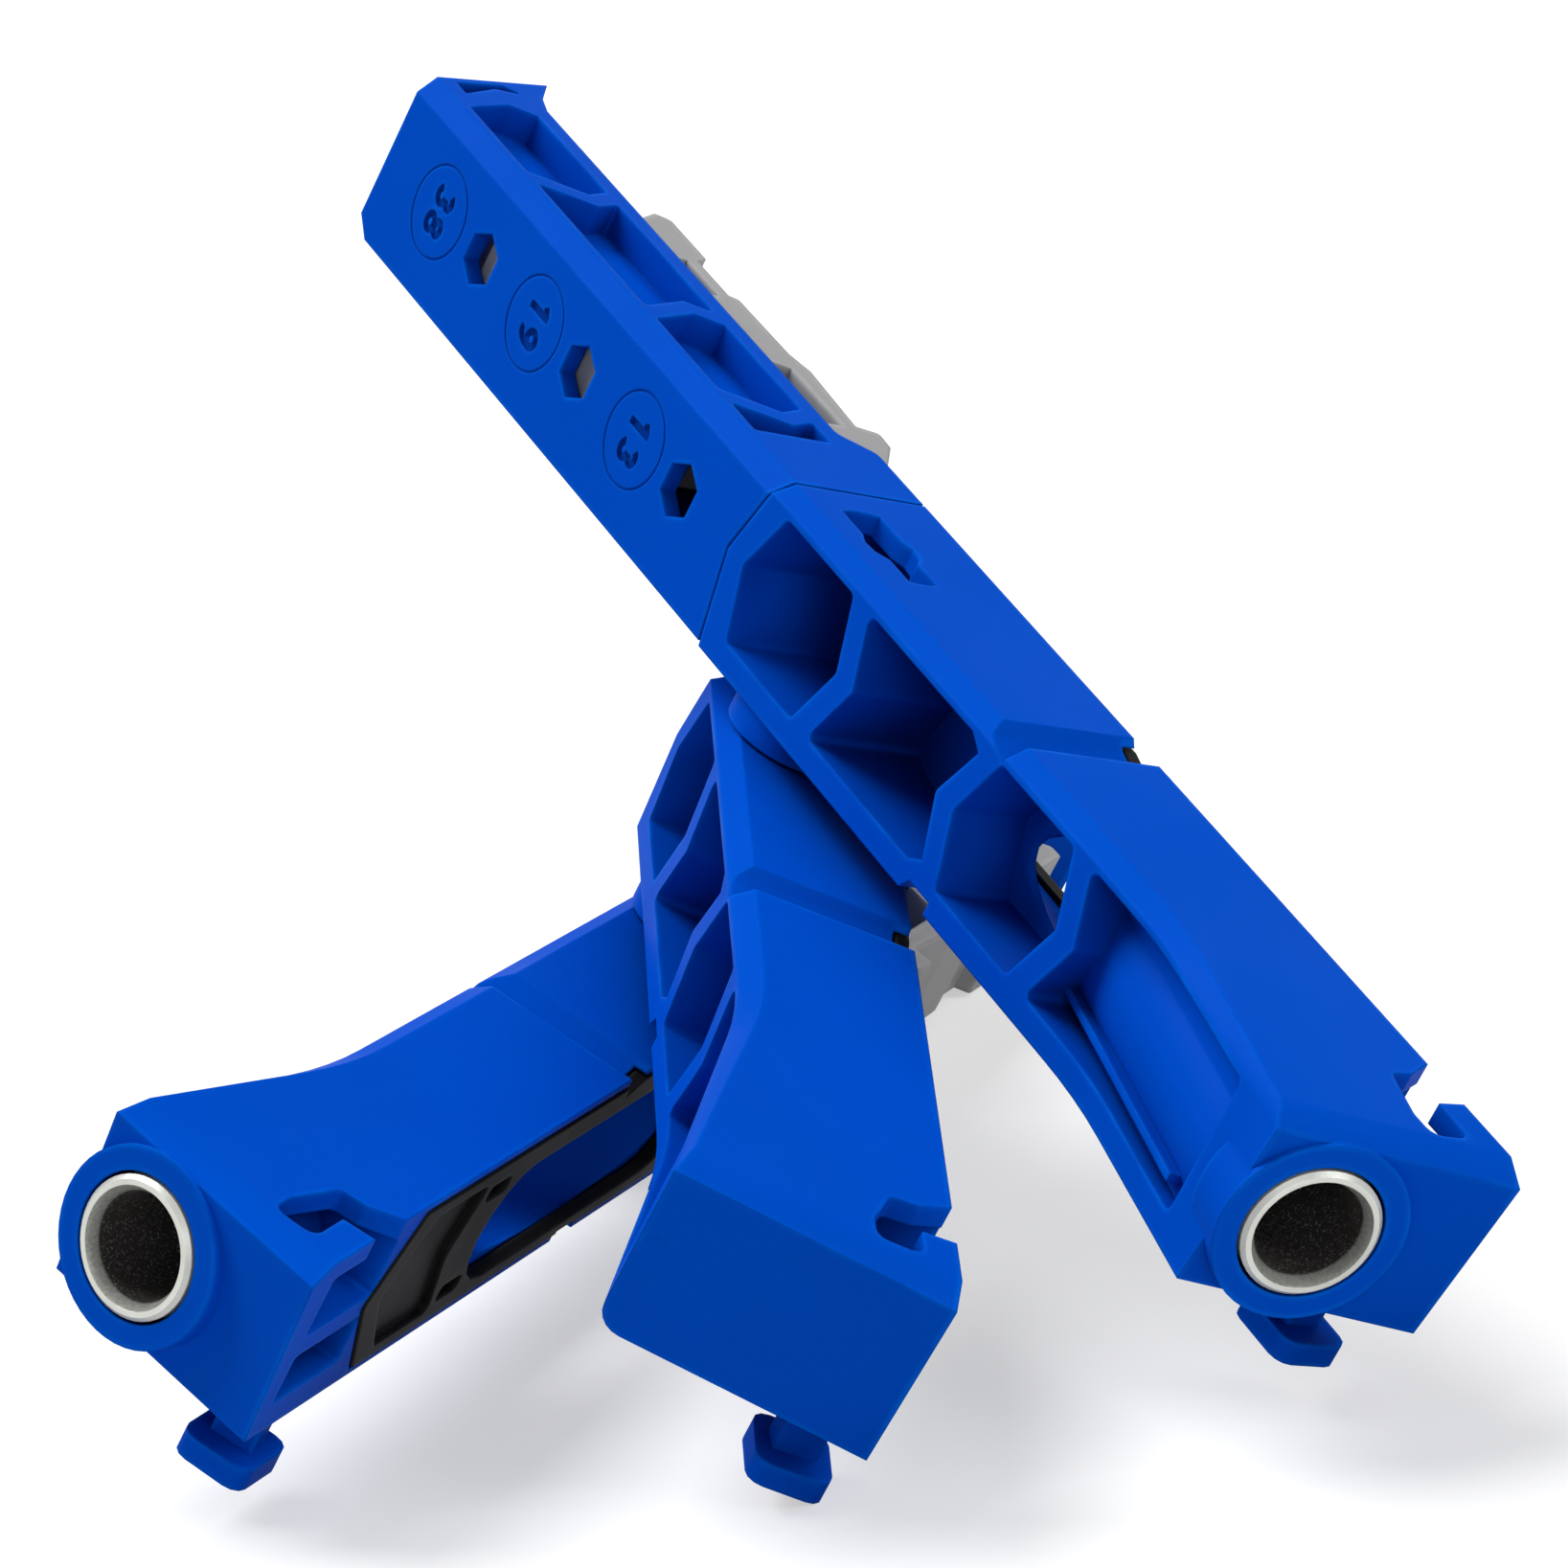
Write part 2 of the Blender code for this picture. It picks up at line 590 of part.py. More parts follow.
def pad_cell():
    """The large sunk chevron near the pad's tip."""
    low, high = PAD_CELL_RIM, THICKNESS - PAD_CELL_RIM
    end = PAD_CELL_START + PAD_CELL_LENGTH
    return filleted([(PAD_CELL_START, low, PAD_CELL_FILLET), (end, low, PAD_CELL_FILLET),
                     (end + PAD_TIP, THICKNESS / 2, PAD_CELL_FILLET), (end, high, PAD_CELL_FILLET),
                     (PAD_CELL_START, high, PAD_CELL_FILLET),
                     (PAD_CELL_START + PAD_CELL_NOTCH, THICKNESS / 2, PAD_CELL_NOTCH)])


def pad_recess():
    """Room in the workpiece face for the grip pad."""
    floor = WORK_FACE_Y + PAD_PROUD - PAD_THICKNESS - FIT_GAP
    return prism("pad_recess", pad_outline(FIT_GAP), floor, WORK_FACE_Y + FAR, side_place)


def pad_mesh(with_trough):
    """The rubber grip pad: a thin plate with the trough, two eyes and the sunk chevron."""
    outer = WORK_FACE_Y + PAD_PROUD
    inner = outer - PAD_THICKNESS
    pad = prism("pad", pad_outline(0), inner, outer, side_place)
    cuts = [prism("cell", pad_cell(), outer - PAD_CELL_DEPTH, outer + OVERSHOOT, side_place), *grooves()]
    for low in (PAD_EYE_LOW, THICKNESS - PAD_EYE_LOW - PAD_EYE_WIDTH):
        high, end = low + PAD_EYE_WIDTH, PAD_EYE_START + PAD_EYE_LENGTH
        eye = filleted([(x, z, PAD_EYE_FILLET)
                        for x, z in ((PAD_EYE_START, low), (end, low), (end, high), (PAD_EYE_START, high))])
        cuts.append(prism("eye", eye, inner - OVERSHOOT, outer + OVERSHOOT, side_place))
    if with_trough:
        half = PAD_TROUGH_HALF
        start = PAD_TROUGH_END - PAD_TROUGH_LENGTH
        trough = (arc((PAD_TROUGH_END - half, BUSHING_Z), half, -math.pi / 2, math.pi / 2, 8)
                  + arc((start + half, BUSHING_Z), half, math.pi / 2, 3 * math.pi / 2, 8))
        cuts.append(prism("trough", trough, inner - OVERSHOOT, outer + OVERSHOOT, side_place))
    carve(pad, 'DIFFERENCE', *cuts)
    return finish(pad)


def guide_mesh():
    """A drill guide's moulding."""
    body = blank(GUIDE_FLARE_X, END_X)
    pocket, rib = recess()
    carve(body, 'DIFFERENCE', *cells(), pocket, *hook_room(END_X))
    recess_start = (RECESS_START - BUSHING_X) / math.cos(DRILL_ANGLE)
    tube = drill_rod("drill_tube", TUBE_RADIUS, recess_start, -BOSS_LENGTH / 2)
    boss = drill_rod("boss", BOSS_RADIUS, -BOSS_LENGTH, -BUSHING_PROUD, 48)
    carve(body, 'UNION', tube, rib, boss)
    seat = drill_rod("bushing_seat", BUSHING_RADIUS + FIT_GAP, -BUSHING_LENGTH - FIT_GAP, 3)
    bore = drill_rod("bore", BORE_RADIUS, -BORE_REACH, -BUSHING_LENGTH, 32)
    carve(body, 'DIFFERENCE', seat, bore, keyhole(), pad_recess(), *grooves())
    carve(body, 'UNION', *connector(), *hook())
    return finish(body)


def spacer_mesh():
    """The spacer's moulding: a guide's cells and locks on a wider flare, and no drill tube."""
    end_x = END_X - SPACER_SHORTER
    body = blank(SPACER_FLARE_X, end_x)
    pocket, rib = recess()
    dimple = prism("dimple", arc((-DIMPLE_SIDE, MIDDLE), DIMPLE_RADIUS, 0, 2 * math.pi * 15 / 16, 15),
                   -DIMPLE_DEPTH - END_LEAN, FAR, drill_place)
    waste = back_rounding(SPACER_FLARE_X, end_x)
    carve(body, 'DIFFERENCE', *cells(), pocket, *hook_room(end_x), waste)
    carve(body, 'UNION', rib)
    carve(body, 'DIFFERENCE', keyhole(), pad_recess(), *grooves(), dimple)
    carve(body, 'UNION', *connector(), *hook())
    return finish(body)


def bushing_mesh():
    """The hardened drill bushing, chamfered at its mouth and outer edges."""
    outer, inner, chamfer = BUSHING_RADIUS, DRILL_RADIUS, BUSHING_CHAMFER
    profile = [(outer, -chamfer), (outer - chamfer, 0), (MOUTH_RADIUS, 0), (inner, -MOUTH_DEPTH),
               (inner, -BUSHING_LENGTH), (outer - chamfer, -BUSHING_LENGTH),
               (outer, -BUSHING_LENGTH + chamfer)]
    return finish(revolved("bushing", profile, 48))


def chevron(tip_x, way):
    """One wall of the arm's cells, from the low side up: its tip points along x the given way."""
    levels = (ARM_CELL_LOW_Y, ARM_CELL_TIP_Y, ARM_CELL_HIGH_Y)
    return [(tip_x - way * ARM_CELL_SLOPE * abs(y - ARM_CELL_TIP_Y), y, 0.4) for y in levels]


def arm_cells():
    """Sunk cells in the arm's plain side, set between chevron walls, and the slit at the far end."""
    outlines = []
    for number in range(3):
        start = ARM_CELL_START + number * (ARM_CELL_LENGTH + ARM_CELL_WALL)
        way = 1 if number == 1 else -1
        outlines.append(chevron(start, way)[::-1] + chevron(start + ARM_CELL_LENGTH, -way))
    start = ARM_CELL_START + 3 * (ARM_CELL_LENGTH + ARM_CELL_WALL)
    outlines.append([*chevron(start, 1)[::-1], (ARM_CELL_END, ARM_CELL_LOW_Y, 0.4),
                     (ARM_CELL_END, ARM_CELL_HIGH_Y, 0.4)])
    slant = (ARM_LIP_X - ARM_END_X) / (WORK_FACE_Y - WINDOW_FACE_Y)

    def outer(y):
        return (ARM_END_X + slant * (y - WINDOW_FACE_Y) + SLIT_OUTER_WALL, y, 0.2)
    low, tip, high = chevron(ARM_CELL_START - SLIT_WALL, -1)
    outlines.append([outer(ARM_CELL_LOW_Y + 1.2), (low[0], ARM_CELL_LOW_Y + 1.2, 0.2), tip,
                     (tip[0], ARM_CELL_HIGH_Y + 0.6, 0.2), outer(ARM_CELL_HIGH_Y - 1.2)])
    return [prism("arm_cell", filleted(outline), THICKNESS - ARM_CELL_DEPTH, THICKNESS + OVERSHOOT)
            for outline in outlines]


def arm_mesh():
    """The scale arm: sunk cells, three sight holes, a channel for the stop's tongue and a pointed lip."""
    seam = SEAM_X - FIT_GAP
    outline = filleted([(seam, WINDOW_FACE_Y, 0), (seam, WORK_FACE_Y, 0),
                        (ARM_STEP_X + ARM_STEP_LENGTH, WORK_FACE_Y, ARM_STEP_ROUND),
                        (ARM_STEP_X, ARM_EDGE_Y, ARM_STEP_ROUND), (ARM_LIP_ROOT_X, ARM_EDGE_Y, 0),
                        (ARM_LIP_X + ARM_LIP_THICKNESS, ARM_EDGE_Y + 1, 0),
                        (ARM_LIP_X, WORK_FACE_Y + 0.3, 0), (ARM_END_X, WINDOW_FACE_Y, 0)])
    arm = prism("arm", outline, ARM_UNDERSIDE, THICKNESS)
    bevel_edges(arm, lambda a, b: min(a.z, b.z) > THICKNESS - HAIR and max(a.y, b.y) < WINDOW_FACE_Y + HAIR,
                PLAIN_BEVEL)
    tip = seam - SEAM_TIP
    notch = prism("seam_notch", [(tip, MIDDLE), (seam, 0), (seam, -OVERSHOOT),
                                 (seam + OVERSHOOT, -OVERSHOOT), (seam + OVERSHOOT, THICKNESS + OVERSHOOT),
                                 (seam, THICKNESS + OVERSHOOT), (seam, THICKNESS)], -FAR, FAR, side_place)
    inner = WINDOW_FACE_Y + SIGHT_WALL
    sights = []
    for number in range(3):
        centre = (SIGHT_X - number * SIGHT_PITCH, SIGHT_Z)
        outline = arc(centre, SIGHT_RADIUS, math.pi / 6, math.pi / 6 + 5 * math.pi / 3, 5)
        sights.append(prism("sight", outline, -FAR, inner + SIGHT_WALL, side_place))
    rail_start = ARM_STEP_X - ARM_STEP_ROUND
    rail = prism("rail", [(ARM_LIP_ROOT_X, RAIL_LOW), (rail_start, RAIL_LOW), (rail_start, RAIL_HIGH),
                          (ARM_LIP_ROOT_X, RAIL_HIGH)], inner, FAR, side_place)
    room = prism("sight_room", [(rail_start - OVERSHOOT, RAIL_LOW), (SIGHT_ROOM_END, RAIL_LOW),
                                (SIGHT_ROOM_END, RAIL_HIGH), (rail_start - OVERSHOOT, RAIL_HIGH)], inner,
                 SIGHT_ROOM_Y, side_place)
    rounding = [(ARM_LIP_X - FAR, -FAR), (ARM_END_X + ARM_END_ROUND, -FAR),
                (ARM_END_X + ARM_END_ROUND, ARM_UNDERSIDE), (ARM_END_X - ARM_UNDERSIDE, ARM_END_ROUND),
                (ARM_LIP_X - FAR, ARM_END_ROUND)]
    end_round = prism("end_round", rounding, -FAR, FAR, side_place)
    carve(arm, 'DIFFERENCE', notch, *sights, rail, room, *arm_cells(), end_round)
    return finish(arm)


def stop_mesh():
    """The positioning stop: a wall on three blocks, a lip for the board's end and a tongue in the arm."""
    base = ARM_EDGE_Y + FIT_GAP
    inner = STOP_FACE_Y - STOP_WALL
    outline = filleted([
        (STOP_START + STOP_TAB_INSET, base, 0), (STOP_BLOCK_1_END, base, 0.5),
        (STOP_BLOCK_1_END, inner - 1.0, 0), (STOP_BLOCK_2_START, inner - 1.0, 0),
        (STOP_BLOCK_2_START, base, 0.5), (STOP_BLOCK_2_END, base, 0.5),
        (STOP_BLOCK_2_END + 1.8, inner, 0), (STOP_BLOCK_3_START, inner, 0), (STOP_BLOCK_3_START, base, 0),
        (STOP_BLOCK_3_END, base, 0), (STOP_BLOCK_3_END + STOP_SLOPE_LENGTH, WORK_FACE_Y + 2 * FIT_GAP, 0),
        (STOP_TOE_X, WORK_FACE_Y + 2 * FIT_GAP, 0.2), (STOP_BLOCK_3_START + 3.0, STOP_LIP_Y - 0.2, 1.2),
        (STOP_BLOCK_3_START + 0.3, STOP_LIP_Y, 0.6), (STOP_BLOCK_3_START - 0.4, STOP_FACE_Y - 0.2, 0),
        (STOP_BLOCK_2_END + 1.6, STOP_FACE_Y + 0.5, 0.5), (STOP_BLOCK_2_END - 1.6, STOP_FACE_Y - 0.4, 0.5),
        (STOP_BLOCK_2_START, STOP_FACE_Y - 0.6, 0.5), (STOP_BLOCK_2_START - 0.6, STOP_FACE_Y - 1.6, 0),
        (STOP_BLOCK_1_END - 0.2, STOP_FACE_Y - 1.6, 0), (STOP_BLOCK_1_END - 1.0, STOP_FACE_Y, 0.6),
        (STOP_START + 0.9, STOP_FACE_Y, 0.8), (STOP_START, STOP_FACE_Y - 1.6, 0.6)])
    stop = prism("stop", outline, STOP_LOW, STOP_HIGH)
    low, high = RAIL_LOW + FIT_GAP, RAIL_HIGH - FIT_GAP
    start = STOP_START + TONGUE_INSET
    tongue = prism("tongue", [(start, low), (TONGUE_END_X, low), (TONGUE_END_X, high), (start, high)],
                   WINDOW_FACE_Y + SIGHT_WALL + FIT_GAP, base + OVERSHOOT, side_place)
    carve(stop, 'UNION', tongue)
    return finish(stop)


def place(name, mesh, look, unit):
    """One named piece on its unit, shaded smooth where it is round."""
    made = bpy.data.objects.new(name, mesh)
    bpy.context.collection.objects.link(made)
    if not mesh.materials:
        mesh.materials.append(look)
        mesh.shade_smooth()
        mesh.set_sharp_from_angle(angle=math.radians(30))
    made.parent = unit
    return made


def unit_frame(name, turn, level, frame):
    """An empty on the twist axis that carries one unit."""
    empty = bpy.data.objects.new(name, None)
    bpy.context.collection.objects.link(empty)
    empty.parent = frame
    empty.location = (0, 0, level * PITCH * MM)
    empty.rotation_euler = (0, 0, turn)
    return empty


def world_points(piece):
    """The piece's corners, where it stands now."""
    return [piece.matrix_world @ vert.co for vert in piece.data.vertices]


def rest_matrix(pieces, feet_names):
    """Tip the jig onto the lowest corners of three pieces, face it to the viewer and centre it."""
    bpy.context.view_layer.update()
    groups = [world_points(pieces[name]) for name in feet_names]
    up = LEAN_GUESS.normalized()
    for _ in range(8):
        feet = [min(points, key=up.dot) for points in groups]
        normal = (feet[1] - feet[0]).cross(feet[2] - feet[0]).normalized()
        up = normal if normal.dot(up) > 0 else -normal
    back = (AWAY - up * AWAY.dot(up)).normalized()
    turn = Matrix((back.cross(up), back, up)).to_4x4()
    points = [turn @ point for piece in pieces.values() for point in world_points(piece)]
    low = [min(point[axis] for point in points) for axis in range(3)]
    high = [max(point[axis] for point in points) for axis in range(3)]
    middle = Vector(((low[0] + high[0]) / 2, (low[1] + high[1]) / 2, low[2]))
    return Matrix.Translation(-middle) @ turn


def build():
    clear_scene()
    blue = material("blue_moulding", BLUE, 0.42)
    grey = material("grey_moulding", GREY, 0.5)
    black = material("black_rubber", BLACK, 0.7)
    steel = material("bushing_steel", STEEL, 0.28, 1.0)
    frame = bpy.data.objects.new("jig_frame", None)
    bpy.context.collection.objects.link(frame)
    lower = unit_frame("lower_unit", LOWER_TURN, 0, frame)
    spacer = unit_frame("spacer_unit", SPACER_TURN, 1, frame)
    upper = unit_frame("upper_unit", UPPER_TURN, 2, frame)
    guide, bushing, arm, stop, pad = guide_mesh(), bushing_mesh(), arm_mesh(), stop_mesh(), pad_mesh(True)
    pieces = {}
    for side, unit in (("lower", lower), ("upper", upper)):
        for kind, mesh, look in (("guide_body", guide, blue), ("drill_bushing", bushing, steel),
                                 ("scale_arm", arm, blue), ("positioning_stop", stop, grey),
                                 ("grip_pad", pad, black)):
            name = f"{side}_{kind}"
            pieces[name] = place(name, mesh, look, unit)
    pieces["spacer_body"] = place("spacer_body", spacer_mesh(), blue, spacer)
    pieces["spacer_grip_pad"] = place("spacer_grip_pad", pad_mesh(False), black, spacer)
    frame.matrix_world = rest_matrix(pieces, ("lower_guide_body", "lower_positioning_stop", "spacer_body"))


build()
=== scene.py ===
"""Pocket hole jig: materials, engraved scale, soft moulded edges, floor, light and camera.

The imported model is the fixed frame. Each unit of the jig has its own axes, taken from the
joints: x runs along the unit to its bushing end, y to the workpiece face and z along the
twist axis to the plain face.
"""

import json
import math

import bmesh
import bpy
from mathutils import Matrix, Vector

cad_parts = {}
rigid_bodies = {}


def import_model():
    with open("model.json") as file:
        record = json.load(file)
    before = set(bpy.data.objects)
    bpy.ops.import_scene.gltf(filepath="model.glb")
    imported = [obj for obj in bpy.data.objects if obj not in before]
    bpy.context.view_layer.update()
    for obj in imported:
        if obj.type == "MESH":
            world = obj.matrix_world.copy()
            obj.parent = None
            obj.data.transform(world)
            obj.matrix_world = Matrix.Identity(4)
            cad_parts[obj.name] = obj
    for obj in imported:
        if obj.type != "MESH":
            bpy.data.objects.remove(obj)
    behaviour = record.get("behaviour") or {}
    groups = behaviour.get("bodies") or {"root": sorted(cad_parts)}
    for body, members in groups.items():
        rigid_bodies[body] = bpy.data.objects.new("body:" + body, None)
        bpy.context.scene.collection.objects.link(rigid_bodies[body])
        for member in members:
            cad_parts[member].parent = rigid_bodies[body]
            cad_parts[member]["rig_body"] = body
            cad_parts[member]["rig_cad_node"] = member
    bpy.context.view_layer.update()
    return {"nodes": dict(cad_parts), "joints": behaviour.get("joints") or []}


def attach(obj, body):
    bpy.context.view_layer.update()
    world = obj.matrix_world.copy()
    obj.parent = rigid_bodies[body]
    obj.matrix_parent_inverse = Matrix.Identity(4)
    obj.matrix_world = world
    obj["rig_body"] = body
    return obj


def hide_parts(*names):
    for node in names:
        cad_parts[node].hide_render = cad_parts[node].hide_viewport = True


bl_info = {
    "name": "Pocket hole jig",
    "version": (1, 0, 0),
    "blender": (4, 5, 0),
    "location": "View3D > Sidebar > Jig",
    "description": "Dresses the packed pocket hole jig and sets its floor, light and camera",
    "category": "Object",
}

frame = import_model()

MM = 0.001
PITCH = 22.2  # from one unit to the next along the twist axis, in millimetres
GUIDES = ("lower", "upper")
WELD_REACH = 0.000005
SHARP_ANGLE = math.radians(30)

# Places on a guide, in the unit's own axes and in millimetres
WINDOW_FACE_Y = -7.5
RING_Z = 9.5
RING_PLACES = (("13", -32.2), ("19", -54.3), ("38", -76.4))
DRILL_ANGLE = math.radians(14.5)
DRILL_OUT = Vector((math.cos(DRILL_ANGLE), -math.sin(DRILL_ANGLE), 0))
BUSHING_FACE = Vector((93.25, -6.4, 8.75))
BLEND = 0.00003  # half the width of the change from one finish to the next on a bushing, in metres
READING_WAY = Matrix(((0, 1, 0), (0, 0, -1), (-1, 0, 0))).to_4x4()


def bow(centre, across, up, first, last, steps=14):
    """Points on an upright oval from one angle to another, in degrees."""
    angles = [math.radians(first + (last - first) * step / steps) for step in range(steps + 1)]
    return [(centre[0] + across * math.cos(angle), centre[1] + up * math.sin(angle)) for angle in angles]


# The digits as strokes in a box one unit high: a list of points, and whether the stroke closes
DIGITS = {
    "1": (([(0.06, 0.0), (0.06, 1.0)], False), ([(0.06, 0.9), (-0.2, 0.72)], False)),
    "3": ((bow((0.0, 0.735), 0.20, 0.16, 160, -90), False),
          (bow((0.0, 0.305), 0.23, 0.20, 90, -160), False)),
    "8": ((bow((0.0, 0.735), 0.20, 0.16, 0, 345, 23), True),
          (bow((0.0, 0.305), 0.23, 0.20, 0, 345, 23), True)),
    "9": ((bow((0.0, 0.68), 0.22, 0.215, 0, 345, 23), True),
          (bow((-0.06, 0.60), 0.28, 0.49, 10, -105), False)),
}

# The camera, in the axes of the upper unit, with its place measured from the lower unit's back
CAMERA_RIGHT = Vector((0.46795, 0.77667, 0.42167))
CAMERA_DOWN = Vector((0.56589, 0.10315, -0.81800))
CAMERA_AWAY = Vector((-0.67882, 0.62140, -0.39124))
CAMERA_SHIFT = Vector((-16.492, 29.440, 615.142))
CAMERA_FOCUS = 6528.2
PHOTO_SIDE = 1637.0
SENSOR = 36.0
FLOOR_HALF = 3.0

# Distant soft lamps: the way that each one shines from
LAMPS = {"left": (-0.45, 0.25, 0.86), "right": (0.75, -0.35, 0.56), "front": (0.05, -0.97, 0.22)}
LAMP_ANGLE = math.radians(40)

# How dark the sunk marks are painted beside the blue round them: painted shade in their grooves
SUNK_SHADE_SHARES = {"numbers": 0.62, "rings": 0.8}


# Sizes and colours that a user would change

class JigFinish(bpy.types.PropertyGroup):
    """Colours and surface of the jig's materials."""

    blue: bpy.props.FloatVectorProperty(
        name="Blue", description="Colour of the guides, the spacer and the scale arms",
        subtype='COLOR', size=3, min=0.0, max=1.0, default=(0.0, 0.079, 0.60))
    # Painted highlight: the colour that the blue's outer edges are lightened towards.
    painted_highlight_blue: bpy.props.FloatVectorProperty(
        name="Rubbed blue", description="Colour of the blue moulding's rubbed edges",
        subtype='COLOR', size=3, min=0.0, max=1.0, default=(0.0, 0.130, 0.74))
    # Painted shade: the colour that the blue is darkened towards deep in its cells and between the pieces.
    painted_shade_blue: bpy.props.FloatVectorProperty(
        name="Painted shade blue", description="Colour of the blue moulding deep in its cells",
        subtype='COLOR', size=3, min=0.0, max=1.0, default=(0.0, 0.002, 0.09))
    grey: bpy.props.FloatVectorProperty(
        name="Grey", description="Colour of the positioning stops",
        subtype='COLOR', size=3, min=0.0, max=1.0, default=(0.32, 0.32, 0.325))
    rubber: bpy.props.FloatVectorProperty(
        name="Rubber", description="Colour of the grip pads",
        subtype='COLOR', size=3, min=0.0, max=1.0, default=(0.0026, 0.0026, 0.0028))
    steel: bpy.props.FloatVectorProperty(
        name="Steel", description="Colour of the drill bushings at their mouth",
        subtype='COLOR', size=3, min=0.0, max=1.0, default=(0.62, 0.63, 0.58))
    bore: bpy.props.FloatVectorProperty(
        name="Bore", description="Colour of the scale inside the drill bushings",
        subtype='COLOR', size=3, min=0.0, max=1.0, default=(0.040, 0.036, 0.034))
    bore_radius: bpy.props.FloatProperty(
        name="Bore radius", description="Radius of the drill bushings' bore",
        unit='LENGTH', min=0.001, max=0.01, precision=5, default=0.004765)
    mouth_radius: bpy.props.FloatProperty(
        name="Mouth radius", description="Radius of the cone at the bushings' mouth",
        unit='LENGTH', min=0.001, max=0.01, precision=5, default=0.00545)
    chamfer_radius: bpy.props.FloatProperty(
        name="Chamfer radius", description="Radius where the bushings' outer chamfer starts",
        unit='LENGTH', min=0.001, max=0.01, precision=5, default=0.00595)
    blue_roughness: bpy.props.FloatProperty(
        name="Blue roughness", description="Roughness of the blue moulding",
        subtype='FACTOR', min=0.0, max=1.0, default=0.42)
    edge: bpy.props.FloatProperty(
        name="Edge radius", description="Radius of the soft moulded edges",
        unit='LENGTH', min=0.0, max=0.001, precision=5, default=0.0004)


class JigScale(bpy.types.PropertyGroup):
    """The numbered rings on the scale arms."""

    ring_radius: bpy.props.FloatProperty(
        name="Ring radius", description="Radius of the ring round each number",
        unit='LENGTH', min=0.001, max=0.01, precision=5, default=0.0049)
    ring_width: bpy.props.FloatProperty(
        name="Ring width", description="Width of the ring's groove",
        unit='LENGTH', min=0.0001, max=0.001, precision=5, default=0.00026)
    ring_depth: bpy.props.FloatProperty(
        name="Ring depth", description="Depth of the ring's groove",
        unit='LENGTH', min=0.00005, max=0.001, precision=5, default=0.00012)
    digit_height: bpy.props.FloatProperty(
        name="Digit height", description="Height of the numbers",
        unit='LENGTH', min=0.001, max=0.01, precision=5, default=0.0037)
    digit_advance: bpy.props.FloatProperty(
        name="Digit advance", description="Distance between the middles of two digits",
        unit='LENGTH', min=0.001, max=0.01, precision=5, default=0.0031)
    stroke: bpy.props.FloatProperty(
        name="Stroke", description="Width of the numbers' strokes",
        unit='LENGTH', min=0.0001, max=0.002, precision=5, default=0.00082)
    digit_depth: bpy.props.FloatProperty(
        name="Digit depth", description="Depth of the numbers below the face",
        unit='LENGTH', min=0.0001, max=0.001, precision=5, default=0.0004)


class JigStage(bpy.types.PropertyGroup):
    """Floor and light."""

    floor: bpy.props.FloatVectorProperty(
        name="Floor", description="Colour of the floor",
        subtype='COLOR', size=3, min=0.0, max=1.0, default=(0.58, 0.58, 0.58))
    floor_lift: bpy.props.FloatProperty(
        name="Floor lift", description="How much paler the camera sees the floor",
        min=0.0, max=1.0, default=0.52)
    sky: bpy.props.FloatProperty(
        name="Surrounding light", description="Strength of the light from all round",
        min=0.0, max=2.0, default=0.10)
    left: bpy.props.FloatProperty(
        name="Left lamp", description="Strength of the soft lamp above and left of the jig",
        min=0.0, max=10.0, default=2.95)
    right: bpy.props.FloatProperty(
        name="Right lamp", description="Strength of the soft lamp above and right of the jig",
        min=0.0, max=10.0, default=1.1)
    front: bpy.props.FloatProperty(
        name="Front lamp", description="Strength of the soft lamp in front of the jig",
        min=0.0, max=10.0, default=0.65)


# Axes of the jig's units

def joint(name):
    """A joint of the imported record."""
    return next(entry for entry in frame["joints"] if entry["name"] == name)


def unit_matrix(side):
    """From a unit's own axes, in metres, to the row frame."""
    up = Vector(joint("upper_twist")["axis"]).normalized()
    along = -Vector(joint(side + "_stop_slide")["axis"])
    along = (along - up * along.dot(up)).normalized()
    across = up.cross(along)
    level = 2 if side == "upper" else 0
    foot = Vector(joint("upper_twist")["pos_m"]) + up * (level - 2) * PITCH * MM
    turn = Matrix((along, across, up)).transposed().to_4x4()
    return Matrix.Translation(foot) @ turn


def jig_matrix():
    """From the whole jig's axes, those of the upper unit at the lower unit's back, to the row frame."""
    made = unit_matrix("upper")
    made.translation = unit_matrix("lower").translation
    return made


# Shader groups

def group(name, inputs, outputs):
    """An empty shader node group with named sockets."""
    tree = bpy.data.node_groups.new(name, 'ShaderNodeTree')
    for label, kind, value in inputs:
        socket = tree.interface.new_socket(name=label, in_out='INPUT', socket_type=kind)
        socket.default_value = value
    for label, kind in outputs:
        tree.interface.new_socket(name=label, in_out='OUTPUT', socket_type=kind)
    return tree, tree.nodes.new('NodeGroupInput'), tree.nodes.new('NodeGroupOutput')


def noise(tree, scale, detail=3.0):
    """Noise over the piece's own place, with a plain or a linked scale."""
    place = tree.nodes.new('ShaderNodeTexCoord')
    cloud = tree.nodes.new('ShaderNodeTexNoise')
    cloud.inputs['Detail'].default_value = detail
    tree.links.new(place.outputs['Object'], cloud.inputs['Vector'])
    if isinstance(scale, bpy.types.NodeSocket):
        tree.links.new(scale, cloud.inputs['Scale'])
    else:
        cloud.inputs['Scale'].default_value = scale
    return cloud.outputs['Fac']


def ranged(tree, value, low, high, to_low=0.0, to_high=1.0):
    """A value moved from one range to another, and held inside it."""
    made = tree.nodes.new('ShaderNodeMapRange')
    for socket, given in (('From Min', low), ('From Max', high), ('To Min', to_low), ('To Max', to_high)):
        made.inputs[socket].default_value = given
    tree.links.new(value, made.inputs['Value'])
    return made.outputs['Result']


def sums(tree, operation, first, second):
    """One sum of two values or sockets."""
    made = tree.nodes.new('ShaderNodeMath')
    made.operation = operation
    for index, value in enumerate((first, second)):
        if isinstance(value, bpy.types.NodeSocket):
            tree.links.new(value, made.inputs[index])
        else:
            made.inputs[index].default_value = value
    return made.outputs['Value']


